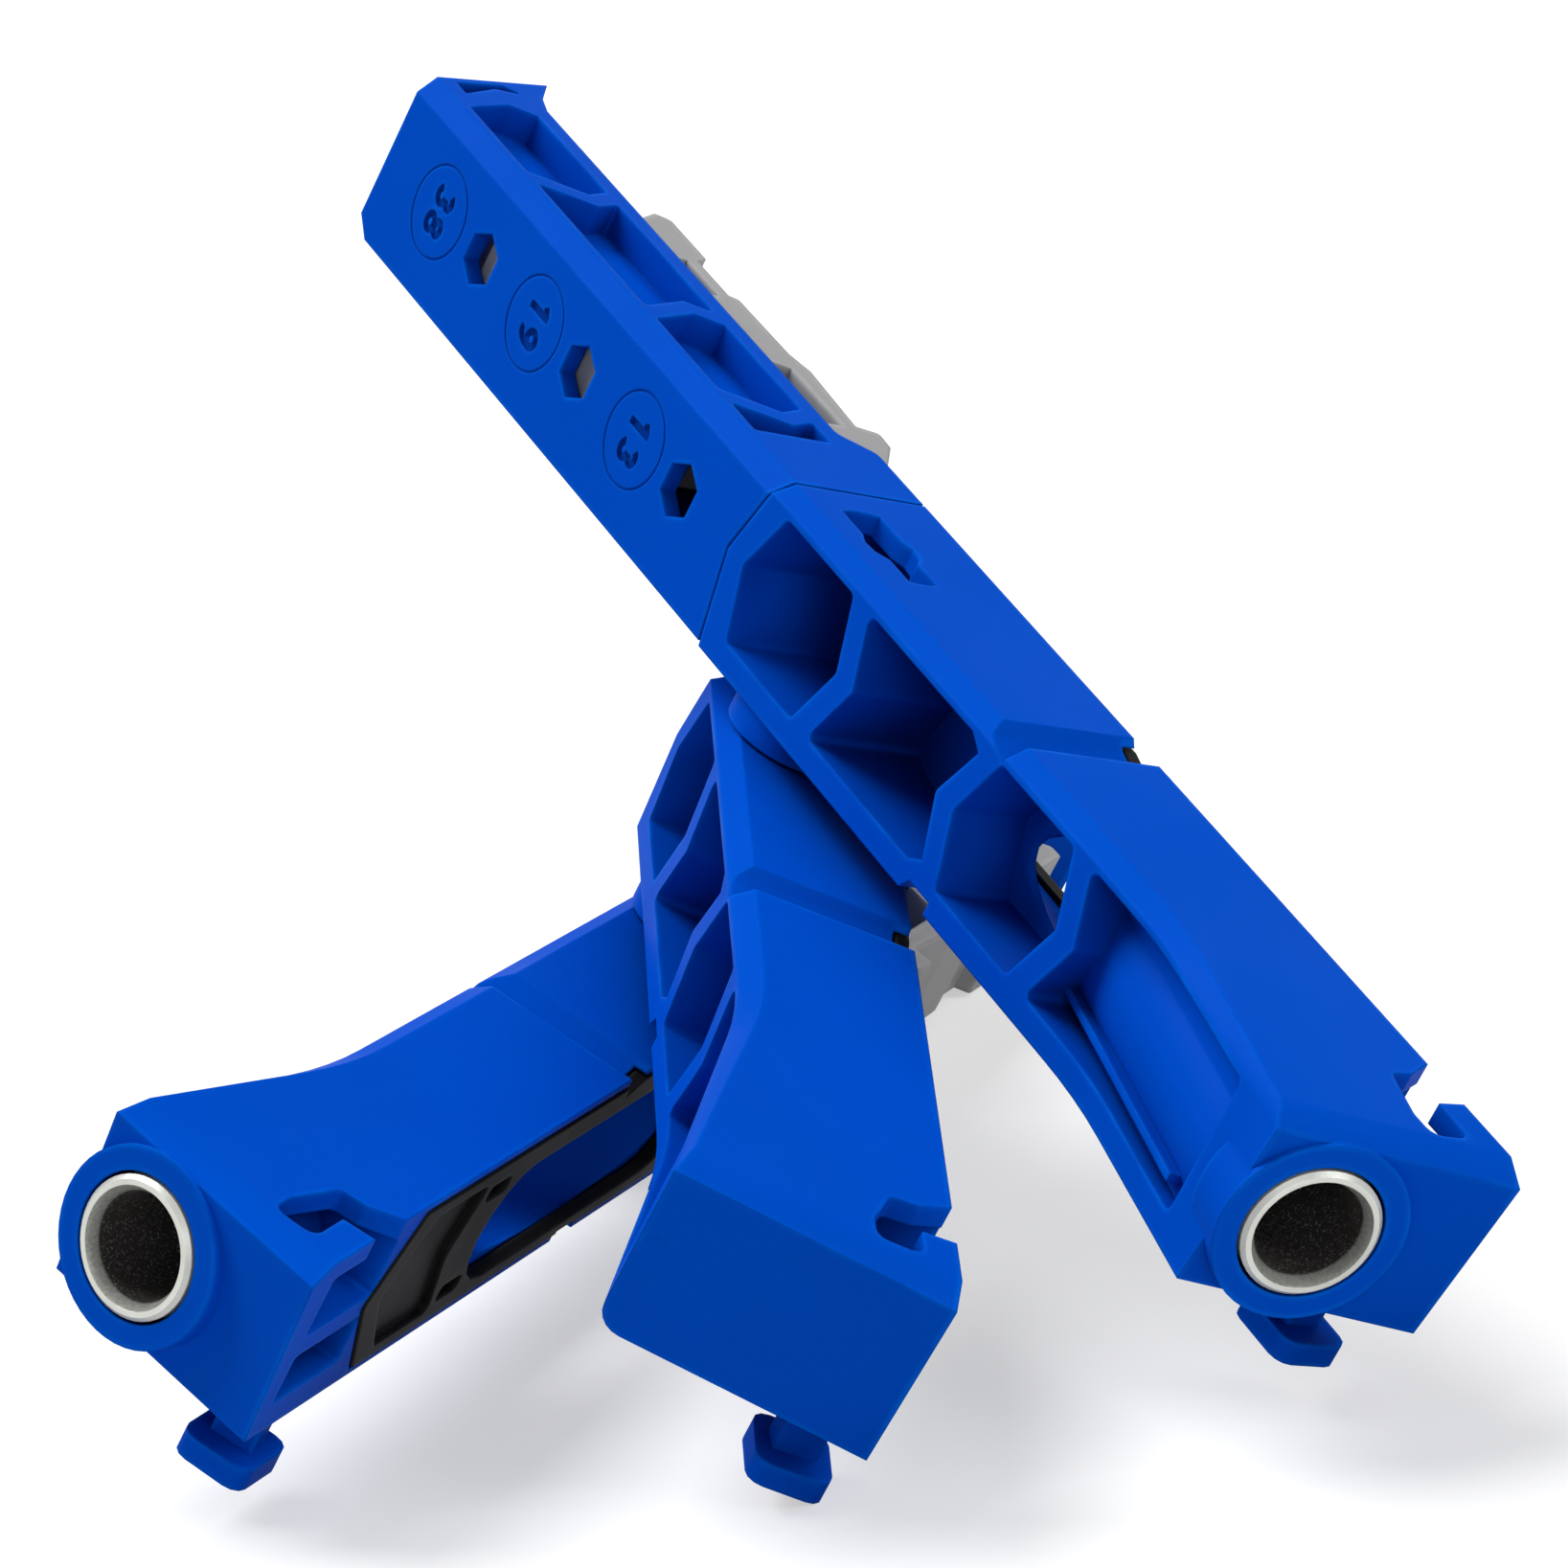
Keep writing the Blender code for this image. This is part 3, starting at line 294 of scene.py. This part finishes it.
def mixed(tree, share, first, second):
    """Two colours mixed by a share; a colour is a tuple or a socket."""
    made = tree.nodes.new('ShaderNodeMix')
    made.data_type = 'RGBA'
    tree.links.new(share, made.inputs[0])
    for index, value in ((6, first), (7, second)):
        if isinstance(value, bpy.types.NodeSocket):
            tree.links.new(value, made.inputs[index])
        else:
            made.inputs[index].default_value = (*value, 1.0)
    return made.outputs[2]


def grain_group():
    """Fine moulded grain: a height for a bump and a mask for roughness."""
    tree, start, end = group("fine_grain", [("Scale", 'NodeSocketFloat', 900.0)],
                             [("Height", 'NodeSocketFloat'), ("Mask", 'NodeSocketFloat')])
    tree.links.new(noise(tree, start.outputs['Scale']), end.inputs['Height'])
    tree.links.new(ranged(tree, noise(tree, 45.0, 4.0), 0.35, 0.65), end.inputs['Mask'])
    return tree


def tone_group():
    """Slow change of tone over a moulding, between two colours, with fine flecks of it."""
    tree, start, end = group("moulding_tone", [("Colour", 'NodeSocketColor', (0.5, 0.5, 0.5, 1.0)),
                                               ("Other", 'NodeSocketColor', (0.5, 0.5, 0.5, 1.0)),
                                               ("Scale", 'NodeSocketFloat', 30.0)],
                             [("Colour", 'NodeSocketColor')])
    slow = ranged(tree, noise(tree, start.outputs['Scale']), 0.36, 0.64)
    flecks = ranged(tree, noise(tree, 900.0, 2.0), 0.42, 0.62, 0.0, 0.5)
    share = sums(tree, 'MAXIMUM', slow, flecks)
    toned = mixed(tree, share, start.outputs['Colour'], start.outputs['Other'])
    tree.links.new(toned, end.inputs['Colour'])
    return tree


def edge_group():
    """Moulded edges: a normal that rounds them, and a mask of the outer ones for a painted highlight,
    broken up by noise.
    """
    tree, start, end = group("soft_edges", [("Radius", 'NodeSocketFloat', 0.0003),
                                            ("Rubbed width", 'NodeSocketFloat', 0.0005)],
                             [("Normal", 'NodeSocketVector'), ("Rubbed", 'NodeSocketFloat')])
    rounded = tree.nodes.new('ShaderNodeBevel')
    rounded.samples = 6
    tree.links.new(start.outputs['Radius'], rounded.inputs['Radius'])
    tree.links.new(rounded.outputs['Normal'], end.inputs['Normal'])
    inside = tree.nodes.new('ShaderNodeAmbientOcclusion')
    inside.inside = True
    inside.only_local = True
    inside.samples = 6
    tree.links.new(start.outputs['Rubbed width'], inside.inputs['Distance'])
    # Painted highlight mask: strong near the outer edges, broken up by noise below.
    near = ranged(tree, inside.outputs['AO'], 0.95, 0.55)
    broken = ranged(tree, noise(tree, 160.0, 4.0), 0.38, 0.66, 0.25, 1.0)
    tree.links.new(sums(tree, 'MULTIPLY', near, broken), end.inputs['Rubbed'])
    return tree


def painted_cell_shade_group():
    """Mask for painted shade: how deep a place lies in a cell or between the pieces, from 0 in the open to
    1.
    """
    tree, start, end = group("cavity", [("Reach", 'NodeSocketFloat', 0.022)],
                             [("Depth", 'NodeSocketFloat')])
    open_sky = tree.nodes.new('ShaderNodeAmbientOcclusion')
    open_sky.samples = 4
    tree.links.new(start.outputs['Reach'], open_sky.inputs['Distance'])
    tree.links.new(ranged(tree, open_sky.outputs['AO'], 0.38, 0.06), end.inputs['Depth'])
    return tree


def shared(tree, name, maker, **values):
    """A node group placed in a material with its own values; the group is made the first time."""
    placed = tree.nodes.new('ShaderNodeGroup')
    placed.node_tree = bpy.data.node_groups.get(name) or maker()
    for socket, value in values.items():
        placed.inputs[socket.replace("_", " ")].default_value = value
    return placed


def lightened(colour, share):
    """A colour moved a share of the way to white."""
    return tuple(part + (1.0 - part) * share for part in colour)


def shaded(colour, share):
    """A colour multiplied by a share."""
    return tuple(part * share for part in colour)


def finish_material(name, colour, other, painted_highlight, roughness, spread, grain, bump, edge, specular,
                    metallic=0.0, tone_scale=30.0, deep=None):
    """A moulded or ground finish from the shared groups, with a painted highlight on its outer edges and,
    if a deep colour is given, painted shade deep in cells; the material and its colour socket.
    """
    made = bpy.data.materials.new(name)
    made.use_nodes = True
    tree = made.node_tree
    shader = tree.nodes["Principled BSDF"]
    shader.inputs["Metallic"].default_value = metallic
    shader.inputs["Specular IOR Level"].default_value = specular
    tone = shared(tree, "moulding_tone", tone_group, Colour=(*colour, 1.0), Other=(*other, 1.0),
                  Scale=tone_scale)
    edges = shared(tree, "soft_edges", edge_group, Radius=edge, Rubbed_width=edge * 1.6)
    # Painted highlight: the outer edges are lightened towards the third colour.
    painted_light_colour = mixed(tree, edges.outputs["Rubbed"], tone.outputs["Colour"], painted_highlight)
    # Painted shade: places deep in cells and between the pieces are darkened towards the deep colour.
    if deep:
        cavity = shared(tree, "cavity", painted_cell_shade_group)
        painted_light_colour = mixed(tree, cavity.outputs["Depth"], painted_light_colour, deep)
    tree.links.new(painted_light_colour, shader.inputs["Base Color"])
    fine = shared(tree, "fine_grain", grain_group, Scale=grain)
    tree.links.new(ranged(tree, fine.outputs["Mask"], 0.0, 1.0, roughness - spread, roughness + spread),
                   shader.inputs["Roughness"])
    raised = tree.nodes.new('ShaderNodeBump')
    raised.inputs['Strength'].default_value = bump
    raised.inputs['Distance'].default_value = 0.0001
    tree.links.new(fine.outputs["Height"], raised.inputs['Height'])
    tree.links.new(edges.outputs["Normal"], raised.inputs['Normal'])
    tree.links.new(raised.outputs['Normal'], shader.inputs["Normal"])
    return made, painted_light_colour


def blue_plastic():
    """The blue of the mouldings, with a painted highlight on outer edges, broken up by noise, and painted
    shade deep in a cell.
    """
    look = bpy.context.scene.jig_finish
    # The third colour is the painted highlight on outer edges; the deep colour is the painted shade in
    # cells.
    return bpy.data.materials.get("blue_moulded_plastic") or finish_material(
        "blue_moulded_plastic", look.blue, shaded(look.blue, 0.94), look.painted_highlight_blue, look.blue_roughness,
        spread=0.05, grain=1500.0, bump=0.08, edge=look.edge, specular=0.006, deep=look.painted_shade_blue)[0]


def sunk_blue_painted_shade(kind):
    """The darker blue of the sunk numbers or rings, painted shade in their grooves."""
    name = "blue_of_sunk_" + kind
    colour = shaded(bpy.context.scene.jig_finish.blue, SUNK_SHADE_SHARES[kind])
    return bpy.data.materials.get(name) or finish_material(
        name, colour, shaded(colour, 0.9), colour, 0.6,
        spread=0.05, grain=1500.0, bump=0.1, edge=0.0001, specular=0.012)[0]


def grey_plastic():
    """The pale grey of the positioning stops."""
    look = bpy.context.scene.jig_finish
    # The third colour is the painted highlight on the stops' outer edges.
    return bpy.data.materials.get("grey_moulded_plastic") or finish_material(
        "grey_moulded_plastic", look.grey, shaded(look.grey, 0.93), lightened(look.grey, 0.12), 0.5,
        spread=0.06, grain=1300.0, bump=0.12, edge=look.edge * 1.6, specular=0.3)[0]


def black_rubber():
    """The matt black of the grip pads, with a coarse grain."""
    look = bpy.context.scene.jig_finish
    # The third colour is the painted highlight on the pads' outer edges.
    return bpy.data.materials.get("black_grip_rubber") or finish_material(
        "black_grip_rubber", look.rubber, lightened(look.rubber, 0.006), lightened(look.rubber, 0.012), 0.6,
        spread=0.08, grain=2200.0, bump=0.3, edge=look.edge, specular=0.07)[0]


def from_axis(tree, point, axis):
    """Distance of the surface from an axis of the row frame."""
    place = tree.nodes.new('ShaderNodeTexCoord')
    shift = tree.nodes.new('ShaderNodeVectorMath')
    shift.operation = 'SUBTRACT'
    shift.inputs[1].default_value = point
    tree.links.new(place.outputs['Object'], shift.inputs[0])
    cross = tree.nodes.new('ShaderNodeVectorMath')
    cross.operation = 'CROSS_PRODUCT'
    cross.inputs[1].default_value = axis
    tree.links.new(shift.outputs['Vector'], cross.inputs[0])
    length = tree.nodes.new('ShaderNodeVectorMath')
    length.operation = 'LENGTH'
    tree.links.new(cross.outputs['Vector'], length.inputs[0])
    return length.outputs['Value']


def bushing_steel(side):
    """Ground steel at the face, a duller turned cone at the mouth and a dark speckled scale in the bore."""
    look = bpy.context.scene.jig_finish
    # The third colour is the painted highlight on the bushing's outer edges.
    made, bright = finish_material(
        side + "_bushing_steel", look.steel, shaded(look.steel, 0.9), lightened(look.steel, 0.3), 0.34,
        spread=0.08, grain=2600.0, bump=0.25, edge=look.edge * 0.2, specular=0.5, metallic=1.0,
        tone_scale=260.0)
    tree = made.node_tree
    shader = tree.nodes["Principled BSDF"]
    whole = unit_matrix(side)
    reach = from_axis(tree, whole @ (BUSHING_FACE * MM), (whole.to_3x3() @ DRILL_OUT).normalized())
    bore = ranged(tree, reach, look.bore_radius + 0.00016, look.bore_radius + 0.00004)
    mouth_in, mouth_out = look.mouth_radius - BLEND, look.mouth_radius + BLEND
    mouth = ranged(tree, reach, mouth_out, mouth_in)
    specks = ranged(tree, noise(tree, 4600.0, 2.0), 0.57, 0.67)
    scale = mixed(tree, specks, look.bore, lightened(look.bore, 0.24))
    turned = mixed(tree, ranged(tree, noise(tree, 3000.0, 1.0), 0.35, 0.65), shaded(look.steel, 0.5),
                   shaded(look.steel, 0.66))
    rings = mixed(tree, mouth, bright, turned)
    tree.links.new(mixed(tree, bore, rings, scale), shader.inputs["Base Color"])
    beyond_mouth = ranged(tree, reach, mouth_in, mouth_out, 0.2, 1.0)
    inside_chamfer = ranged(tree, reach, look.chamfer_radius + BLEND, look.chamfer_radius - BLEND, 0.3, 1.0)
    tree.links.new(sums(tree, 'MULTIPLY', beyond_mouth, inside_chamfer), shader.inputs["Metallic"])
    return made


# Mesh help

def set_material(piece, material):
    """Give every face of a piece one material."""
    piece.data.materials.clear()
    piece.data.materials.append(material)
    for face in piece.data.polygons:
        face.material_index = 0


def shading_nodes():
    """Nodes that drop a mesh's stored normals and shade every face smooth."""
    found = bpy.data.node_groups.get("smooth_shading")
    if found:
        return found
    tree = bpy.data.node_groups.new("smooth_shading", 'GeometryNodeTree')
    tree.interface.new_socket("Geometry", in_out='INPUT', socket_type='NodeSocketGeometry')
    tree.interface.new_socket("Geometry", in_out='OUTPUT', socket_type='NodeSocketGeometry')
    stored = tree.nodes.new('NodeGroupInput')
    bare = tree.nodes.new('GeometryNodeRemoveAttribute')
    bare.inputs["Name"].default_value = "custom_normal"
    smooth = tree.nodes.new('GeometryNodeSetShadeSmooth')
    shaded_mesh = tree.nodes.new('NodeGroupOutput')
    tree.links.new(stored.outputs[0], bare.inputs["Geometry"])
    tree.links.new(bare.outputs["Geometry"], smooth.inputs["Geometry"])
    tree.links.new(smooth.outputs["Geometry"], shaded_mesh.inputs[0])
    return tree


def smooth_rounds(piece):
    """Join the split corners, shade round places smooth and keep the flats flat, by modifiers alone."""
    piece.modifiers.new("smooth_shading", 'NODES').node_group = shading_nodes()
    weld = piece.modifiers.new("weld", 'WELD')
    weld.merge_threshold = WELD_REACH
    split = piece.modifiers.new("sharp_edges", 'EDGE_SPLIT')
    split.split_angle = SHARP_ANGLE
    even = piece.modifiers.new("flat_faces", 'WEIGHTED_NORMAL')
    even.keep_sharp = True


def finished_mesh(name, shape, place=None):
    """The mesh of a bmesh, moved to its place."""
    mesh = bpy.data.meshes.new(name)
    shape.to_mesh(mesh)
    shape.free()
    if place:
        mesh.transform(place)
    return mesh


def loft(name, loops, place):
    """A closed solid from loops of points: each loop is joined to the next and the last to the first."""
    shape = bmesh.new()
    rings = [[shape.verts.new(point) for point in loop] for loop in loops]
    count = len(rings[0])
    for index, ring in enumerate(rings):
        following = rings[(index + 1) % len(rings)]
        for step in range(count):
            after = (step + 1) % count
            shape.faces.new((ring[step], ring[after], following[after], following[step]))
    bmesh.ops.recalc_face_normals(shape, faces=shape.faces)
    return finished_mesh(name, shape, place)


def ring_cutter(radius, width, depth, place, sides=72):
    """A flat ring."""
    turns = [2 * math.pi * step / sides for step in range(sides)]
    inner, outer = radius - width / 2, radius + width / 2
    corners = ((inner, -depth), (outer, -depth), (outer, depth), (inner, depth))
    return loft("ring", [[(reach * math.cos(turn), reach * math.sin(turn), level) for turn in turns]
                         for reach, level in corners], place)


def stroke_sides(points, closed, width):
    """The two sides of a stroke of even width along its middle line."""
    count = len(points)
    left, right = [], []
    for index, (x, y) in enumerate(points):
        before = points[index - 1] if closed or index else points[0]
        after = points[(index + 1) % count] if closed or index < count - 1 else points[-1]
        along = Vector((after[0] - before[0], after[1] - before[1])).normalized()
        aside = Vector((-along.y, along.x)) * width / 2
        left.append((x + aside.x, y + aside.y))
        right.append((x - aside.x, y - aside.y))
    return left, right


def stroke_cutter(points, closed, width, depth, place):
    """A solid stroke of a digit, open or closed."""
    left, right = stroke_sides(points, closed, width)
    if closed:
        corners = ((left, -depth), (left, depth), (right, depth), (right, -depth))
        return loft("stroke", [[(x, y, level) for x, y in side] for side, level in corners], place)
    outline = left + right[::-1]
    shape = bmesh.new()
    low, high = ([shape.verts.new((x, y, level)) for x, y in outline] for level in (-depth, depth))
    shape.faces.new(low)
    shape.faces.new(high[::-1])
    for index in range(len(outline)):
        after = (index + 1) % len(outline)
        shape.faces.new((low[index], high[index], high[after], low[after]))
    bmesh.ops.recalc_face_normals(shape, faces=shape.faces)
    return finished_mesh("stroke", shape, place)


def number_cutters(words, sizes, place):
    """Every stroke of a number, centred at a place."""
    made = []
    first = -(len(words) - 1) / 2
    for index, digit in enumerate(words):
        shift = Matrix.Translation(((first + index) * sizes.digit_advance, -sizes.digit_height / 2, 0))
        for number, (points, closed) in enumerate(DIGITS[digit]):
            line = [(x * sizes.digit_height, y * sizes.digit_height) for x, y in points]
            depth = sizes.digit_depth * (1 + 0.02 * number)
            made.append(stroke_cutter(line, closed, sizes.stroke, depth, place @ shift))
    return made


def copied_node(node, name):
    """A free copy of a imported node, to be worked on in its place."""
    source = frame["nodes"][node]
    made = source.copy()
    made.data = source.data.copy()
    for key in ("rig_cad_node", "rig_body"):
        del made[key]
    made.name = name
    made.parent = None
    bpy.context.scene.collection.objects.link(made)
    return made


def engrave(piece, cutters):
    """Cut the rings and strokes out of a piece, each with its own sunk material, and make the cuts real."""
    piece.modifiers.new("weld", 'WELD').merge_threshold = WELD_REACH
    tools = []
    for mesh in cutters:
        mesh.materials.append(sunk_blue_painted_shade("rings" if mesh.name.startswith("ring") else "numbers"))
        tool = bpy.data.objects.new("cutter", mesh)
        bpy.context.scene.collection.objects.link(tool)
        change = piece.modifiers.new("engrave", 'BOOLEAN')
        change.operation = 'DIFFERENCE'
        change.solver = 'EXACT'
        change.material_mode = 'TRANSFER'
        change.object = tool
        tools.append(tool)
    bpy.context.view_layer.update()
    cut = bpy.data.meshes.new_from_object(piece.evaluated_get(bpy.context.evaluated_depsgraph_get()))
    piece.modifiers.clear()
    piece.data = cut
    for tool in tools:
        bpy.data.objects.remove(tool)


# Operators

class JIG_OT_mouldings(bpy.types.Operator):
    """Give the two guides and the spacer their blue plastic"""

    bl_idname = "jig.mouldings"
    bl_label = "Guides and spacer"

    def execute(self, context):
        for name in ("lower_guide_body", "spacer_body", "upper_guide_body"):
            set_material(frame["nodes"][name], blue_plastic())
            smooth_rounds(frame["nodes"][name])
        return {'FINISHED'}


class JIG_OT_scale_arms(bpy.types.Operator):
    """Build the scale arms with their numbers and rings sunk into the window face"""

    bl_idname = "jig.scale_arms"
    bl_label = "Scale arms"

    def execute(self, context):
        sizes = context.scene.jig_scale
        for side in GUIDES:
            arm = copied_node(side + "_scale_arm", side + "_engraved_scale_arm")
            set_material(arm, blue_plastic())
            for kind in SUNK_SHADE_SHARES:
                arm.data.materials.append(sunk_blue_painted_shade(kind))
            cutters = []
            for words, x in RING_PLACES:
                place = unit_matrix(side) @ Matrix.Translation(Vector((x, WINDOW_FACE_Y, RING_Z)) * MM)
                cutters += number_cutters(words, sizes, place @ READING_WAY)
                cutters.append(ring_cutter(sizes.ring_radius, sizes.ring_width, sizes.ring_depth,
                                           place @ READING_WAY))
            engrave(arm, cutters)
            smooth_rounds(arm)
            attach(arm, side + "_guide")
            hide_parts(side + "_scale_arm")
        return {'FINISHED'}


class JIG_OT_stops(bpy.types.Operator):
    """Give the positioning stops their grey plastic"""

    bl_idname = "jig.stops"
    bl_label = "Positioning stops"

    def execute(self, context):
        for side in GUIDES:
            set_material(frame["nodes"][side + "_positioning_stop"], grey_plastic())
            smooth_rounds(frame["nodes"][side + "_positioning_stop"])
        return {'FINISHED'}


class JIG_OT_pads(bpy.types.Operator):
    """Give the grip pads their rubber"""

    bl_idname = "jig.pads"
    bl_label = "Grip pads"

    def execute(self, context):
        for name in ("lower_grip_pad", "spacer_grip_pad", "upper_grip_pad"):
            set_material(frame["nodes"][name], black_rubber())
            smooth_rounds(frame["nodes"][name])
        return {'FINISHED'}


class JIG_OT_bushings(bpy.types.Operator):
    """Give the drill bushings their ground steel and dark bore"""

    bl_idname = "jig.bushings"
    bl_label = "Drill bushings"

    def execute(self, context):
        for side in GUIDES:
            set_material(frame["nodes"][side + "_drill_bushing"], bushing_steel(side))
            smooth_rounds(frame["nodes"][side + "_drill_bushing"])
        return {'FINISHED'}


def seen_rays(tree):
    """One for the camera's rays and for those that metal and glass send on, else nothing."""
    ray = tree.nodes.new('ShaderNodeLightPath')
    seen = sums(tree, 'MAXIMUM', ray.outputs['Is Camera Ray'], ray.outputs['Is Glossy Ray'])
    return sums(tree, 'MAXIMUM', seen, ray.outputs['Is Transmission Ray'])


def floor_material(colour, lift):
    """A plain pale floor that the camera sees nearly white, with the jig's shadow kept."""
    made = bpy.data.materials.new("pale_floor")
    made.use_nodes = True
    tree = made.node_tree
    shader = tree.nodes["Principled BSDF"]
    shader.inputs["Base Color"].default_value = (*colour, 1.0)
    shader.inputs["Roughness"].default_value = 0.9
    shader.inputs["Specular IOR Level"].default_value = 0.1
    shader.inputs["Emission Color"].default_value = (1.0, 1.0, 1.0, 1.0)
    tree.links.new(sums(tree, 'MULTIPLY', seen_rays(tree), lift), shader.inputs["Emission Strength"])
    return made


def studio_world(strength):
    """A world that is white where it is seen, and lights the jig softly from all round."""
    world = bpy.data.worlds.new("studio")
    world.use_nodes = True
    tree = world.node_tree
    tree.nodes.clear()
    mix = tree.nodes.new('ShaderNodeMixShader')
    for index, level in ((1, strength), (2, 1.0)):
        light = tree.nodes.new('ShaderNodeBackground')
        light.inputs['Color'].default_value = (1.0, 1.0, 1.0, 1.0)
        light.inputs['Strength'].default_value = level
        tree.links.new(light.outputs['Background'], mix.inputs[index])
    tree.links.new(seen_rays(tree), mix.inputs['Fac'])
    out = tree.nodes.new('ShaderNodeOutputWorld')
    tree.links.new(mix.outputs['Shader'], out.inputs['Surface'])
    return world


def soft_lamp(name, way, strength):
    """A distant lamp as wide as a soft box, which shines from the given way."""
    lamp = bpy.data.lights.new(name, 'SUN')
    lamp.angle = LAMP_ANGLE
    lamp.energy = strength
    made = bpy.data.objects.new(name, lamp)
    bpy.context.scene.collection.objects.link(made)
    made.location = Vector(way)
    made.rotation_mode = 'QUATERNION'
    made.rotation_quaternion = Vector(way).to_track_quat('Z', 'Y')


def photo_camera():
    """The camera at the photograph's place and angle."""
    lens = bpy.data.cameras.new("photo_camera")
    lens.sensor_width = SENSOR
    lens.lens = CAMERA_FOCUS / PHOTO_SIDE * SENSOR
    lens.clip_start = 0.01
    lens.clip_end = 50.0
    camera = bpy.data.objects.new("photo_camera", lens)
    bpy.context.scene.collection.objects.link(camera)
    turn = Matrix((CAMERA_RIGHT, -CAMERA_DOWN, -CAMERA_AWAY)).transposed()
    place = -(CAMERA_RIGHT * CAMERA_SHIFT.x + CAMERA_DOWN * CAMERA_SHIFT.y + CAMERA_AWAY * CAMERA_SHIFT.z)
    camera.matrix_world = jig_matrix() @ Matrix.Translation(place * MM) @ turn.to_4x4()
    return camera


class JIG_OT_stage(bpy.types.Operator):
    """Set up the floor, the light and the camera"""

    bl_idname = "jig.stage"
    bl_label = "Floor, light and camera"

    def execute(self, context):
        scene = context.scene
        sizes = scene.jig_stage
        shape = bmesh.new()
        bmesh.ops.create_grid(shape, x_segments=8, y_segments=8, size=FLOOR_HALF)
        mesh = finished_mesh("floor", shape)
        floor = bpy.data.objects.new("floor", mesh)
        scene.collection.objects.link(floor)
        mesh.materials.append(floor_material(sizes.floor, sizes.floor_lift))
        scene.world = studio_world(sizes.sky)
        scene.view_settings.view_transform = 'Standard'
        for name, way in LAMPS.items():
            soft_lamp(name + "_lamp", way, getattr(sizes, name))
        scene.camera = photo_camera()
        return {'FINISHED'}


class JIG_PT_panel(bpy.types.Panel):
    """The jig's sizes, colours and steps"""

    bl_label = "Pocket hole jig"
    bl_idname = "JIG_PT_panel"
    bl_space_type = 'VIEW_3D'
    bl_region_type = 'UI'
    bl_category = "Jig"

    def draw(self, context):
        for holder in (context.scene.jig_finish, context.scene.jig_scale, context.scene.jig_stage):
            box = self.layout.box()
            for name in holder.__annotations__:
                box.prop(holder, name)
        for step in STEPS:
            self.layout.operator(step.bl_idname)


GROUPS = (("jig_finish", JigFinish), ("jig_scale", JigScale), ("jig_stage", JigStage))
STEPS = (JIG_OT_mouldings, JIG_OT_scale_arms, JIG_OT_stops, JIG_OT_pads, JIG_OT_bushings, JIG_OT_stage)


def register():
    for name, kind in GROUPS:
        bpy.utils.register_class(kind)
        setattr(bpy.types.Scene, name, bpy.props.PointerProperty(type=kind))
    for kind in (*STEPS, JIG_PT_panel):
        bpy.utils.register_class(kind)


def unregister():
    for kind in reversed((*STEPS, JIG_PT_panel)):
        bpy.utils.unregister_class(kind)
    for name, kind in reversed(GROUPS):
        delattr(bpy.types.Scene, name)
        bpy.utils.unregister_class(kind)


def main():
    """Dress the jig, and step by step."""
    register()
    bpy.ops.jig.mouldings()
    bpy.ops.jig.scale_arms()
    bpy.ops.jig.stops()
    bpy.ops.jig.pads()
    bpy.ops.jig.bushings()
    bpy.ops.jig.stage()


if __name__ == "__main__":
    main()
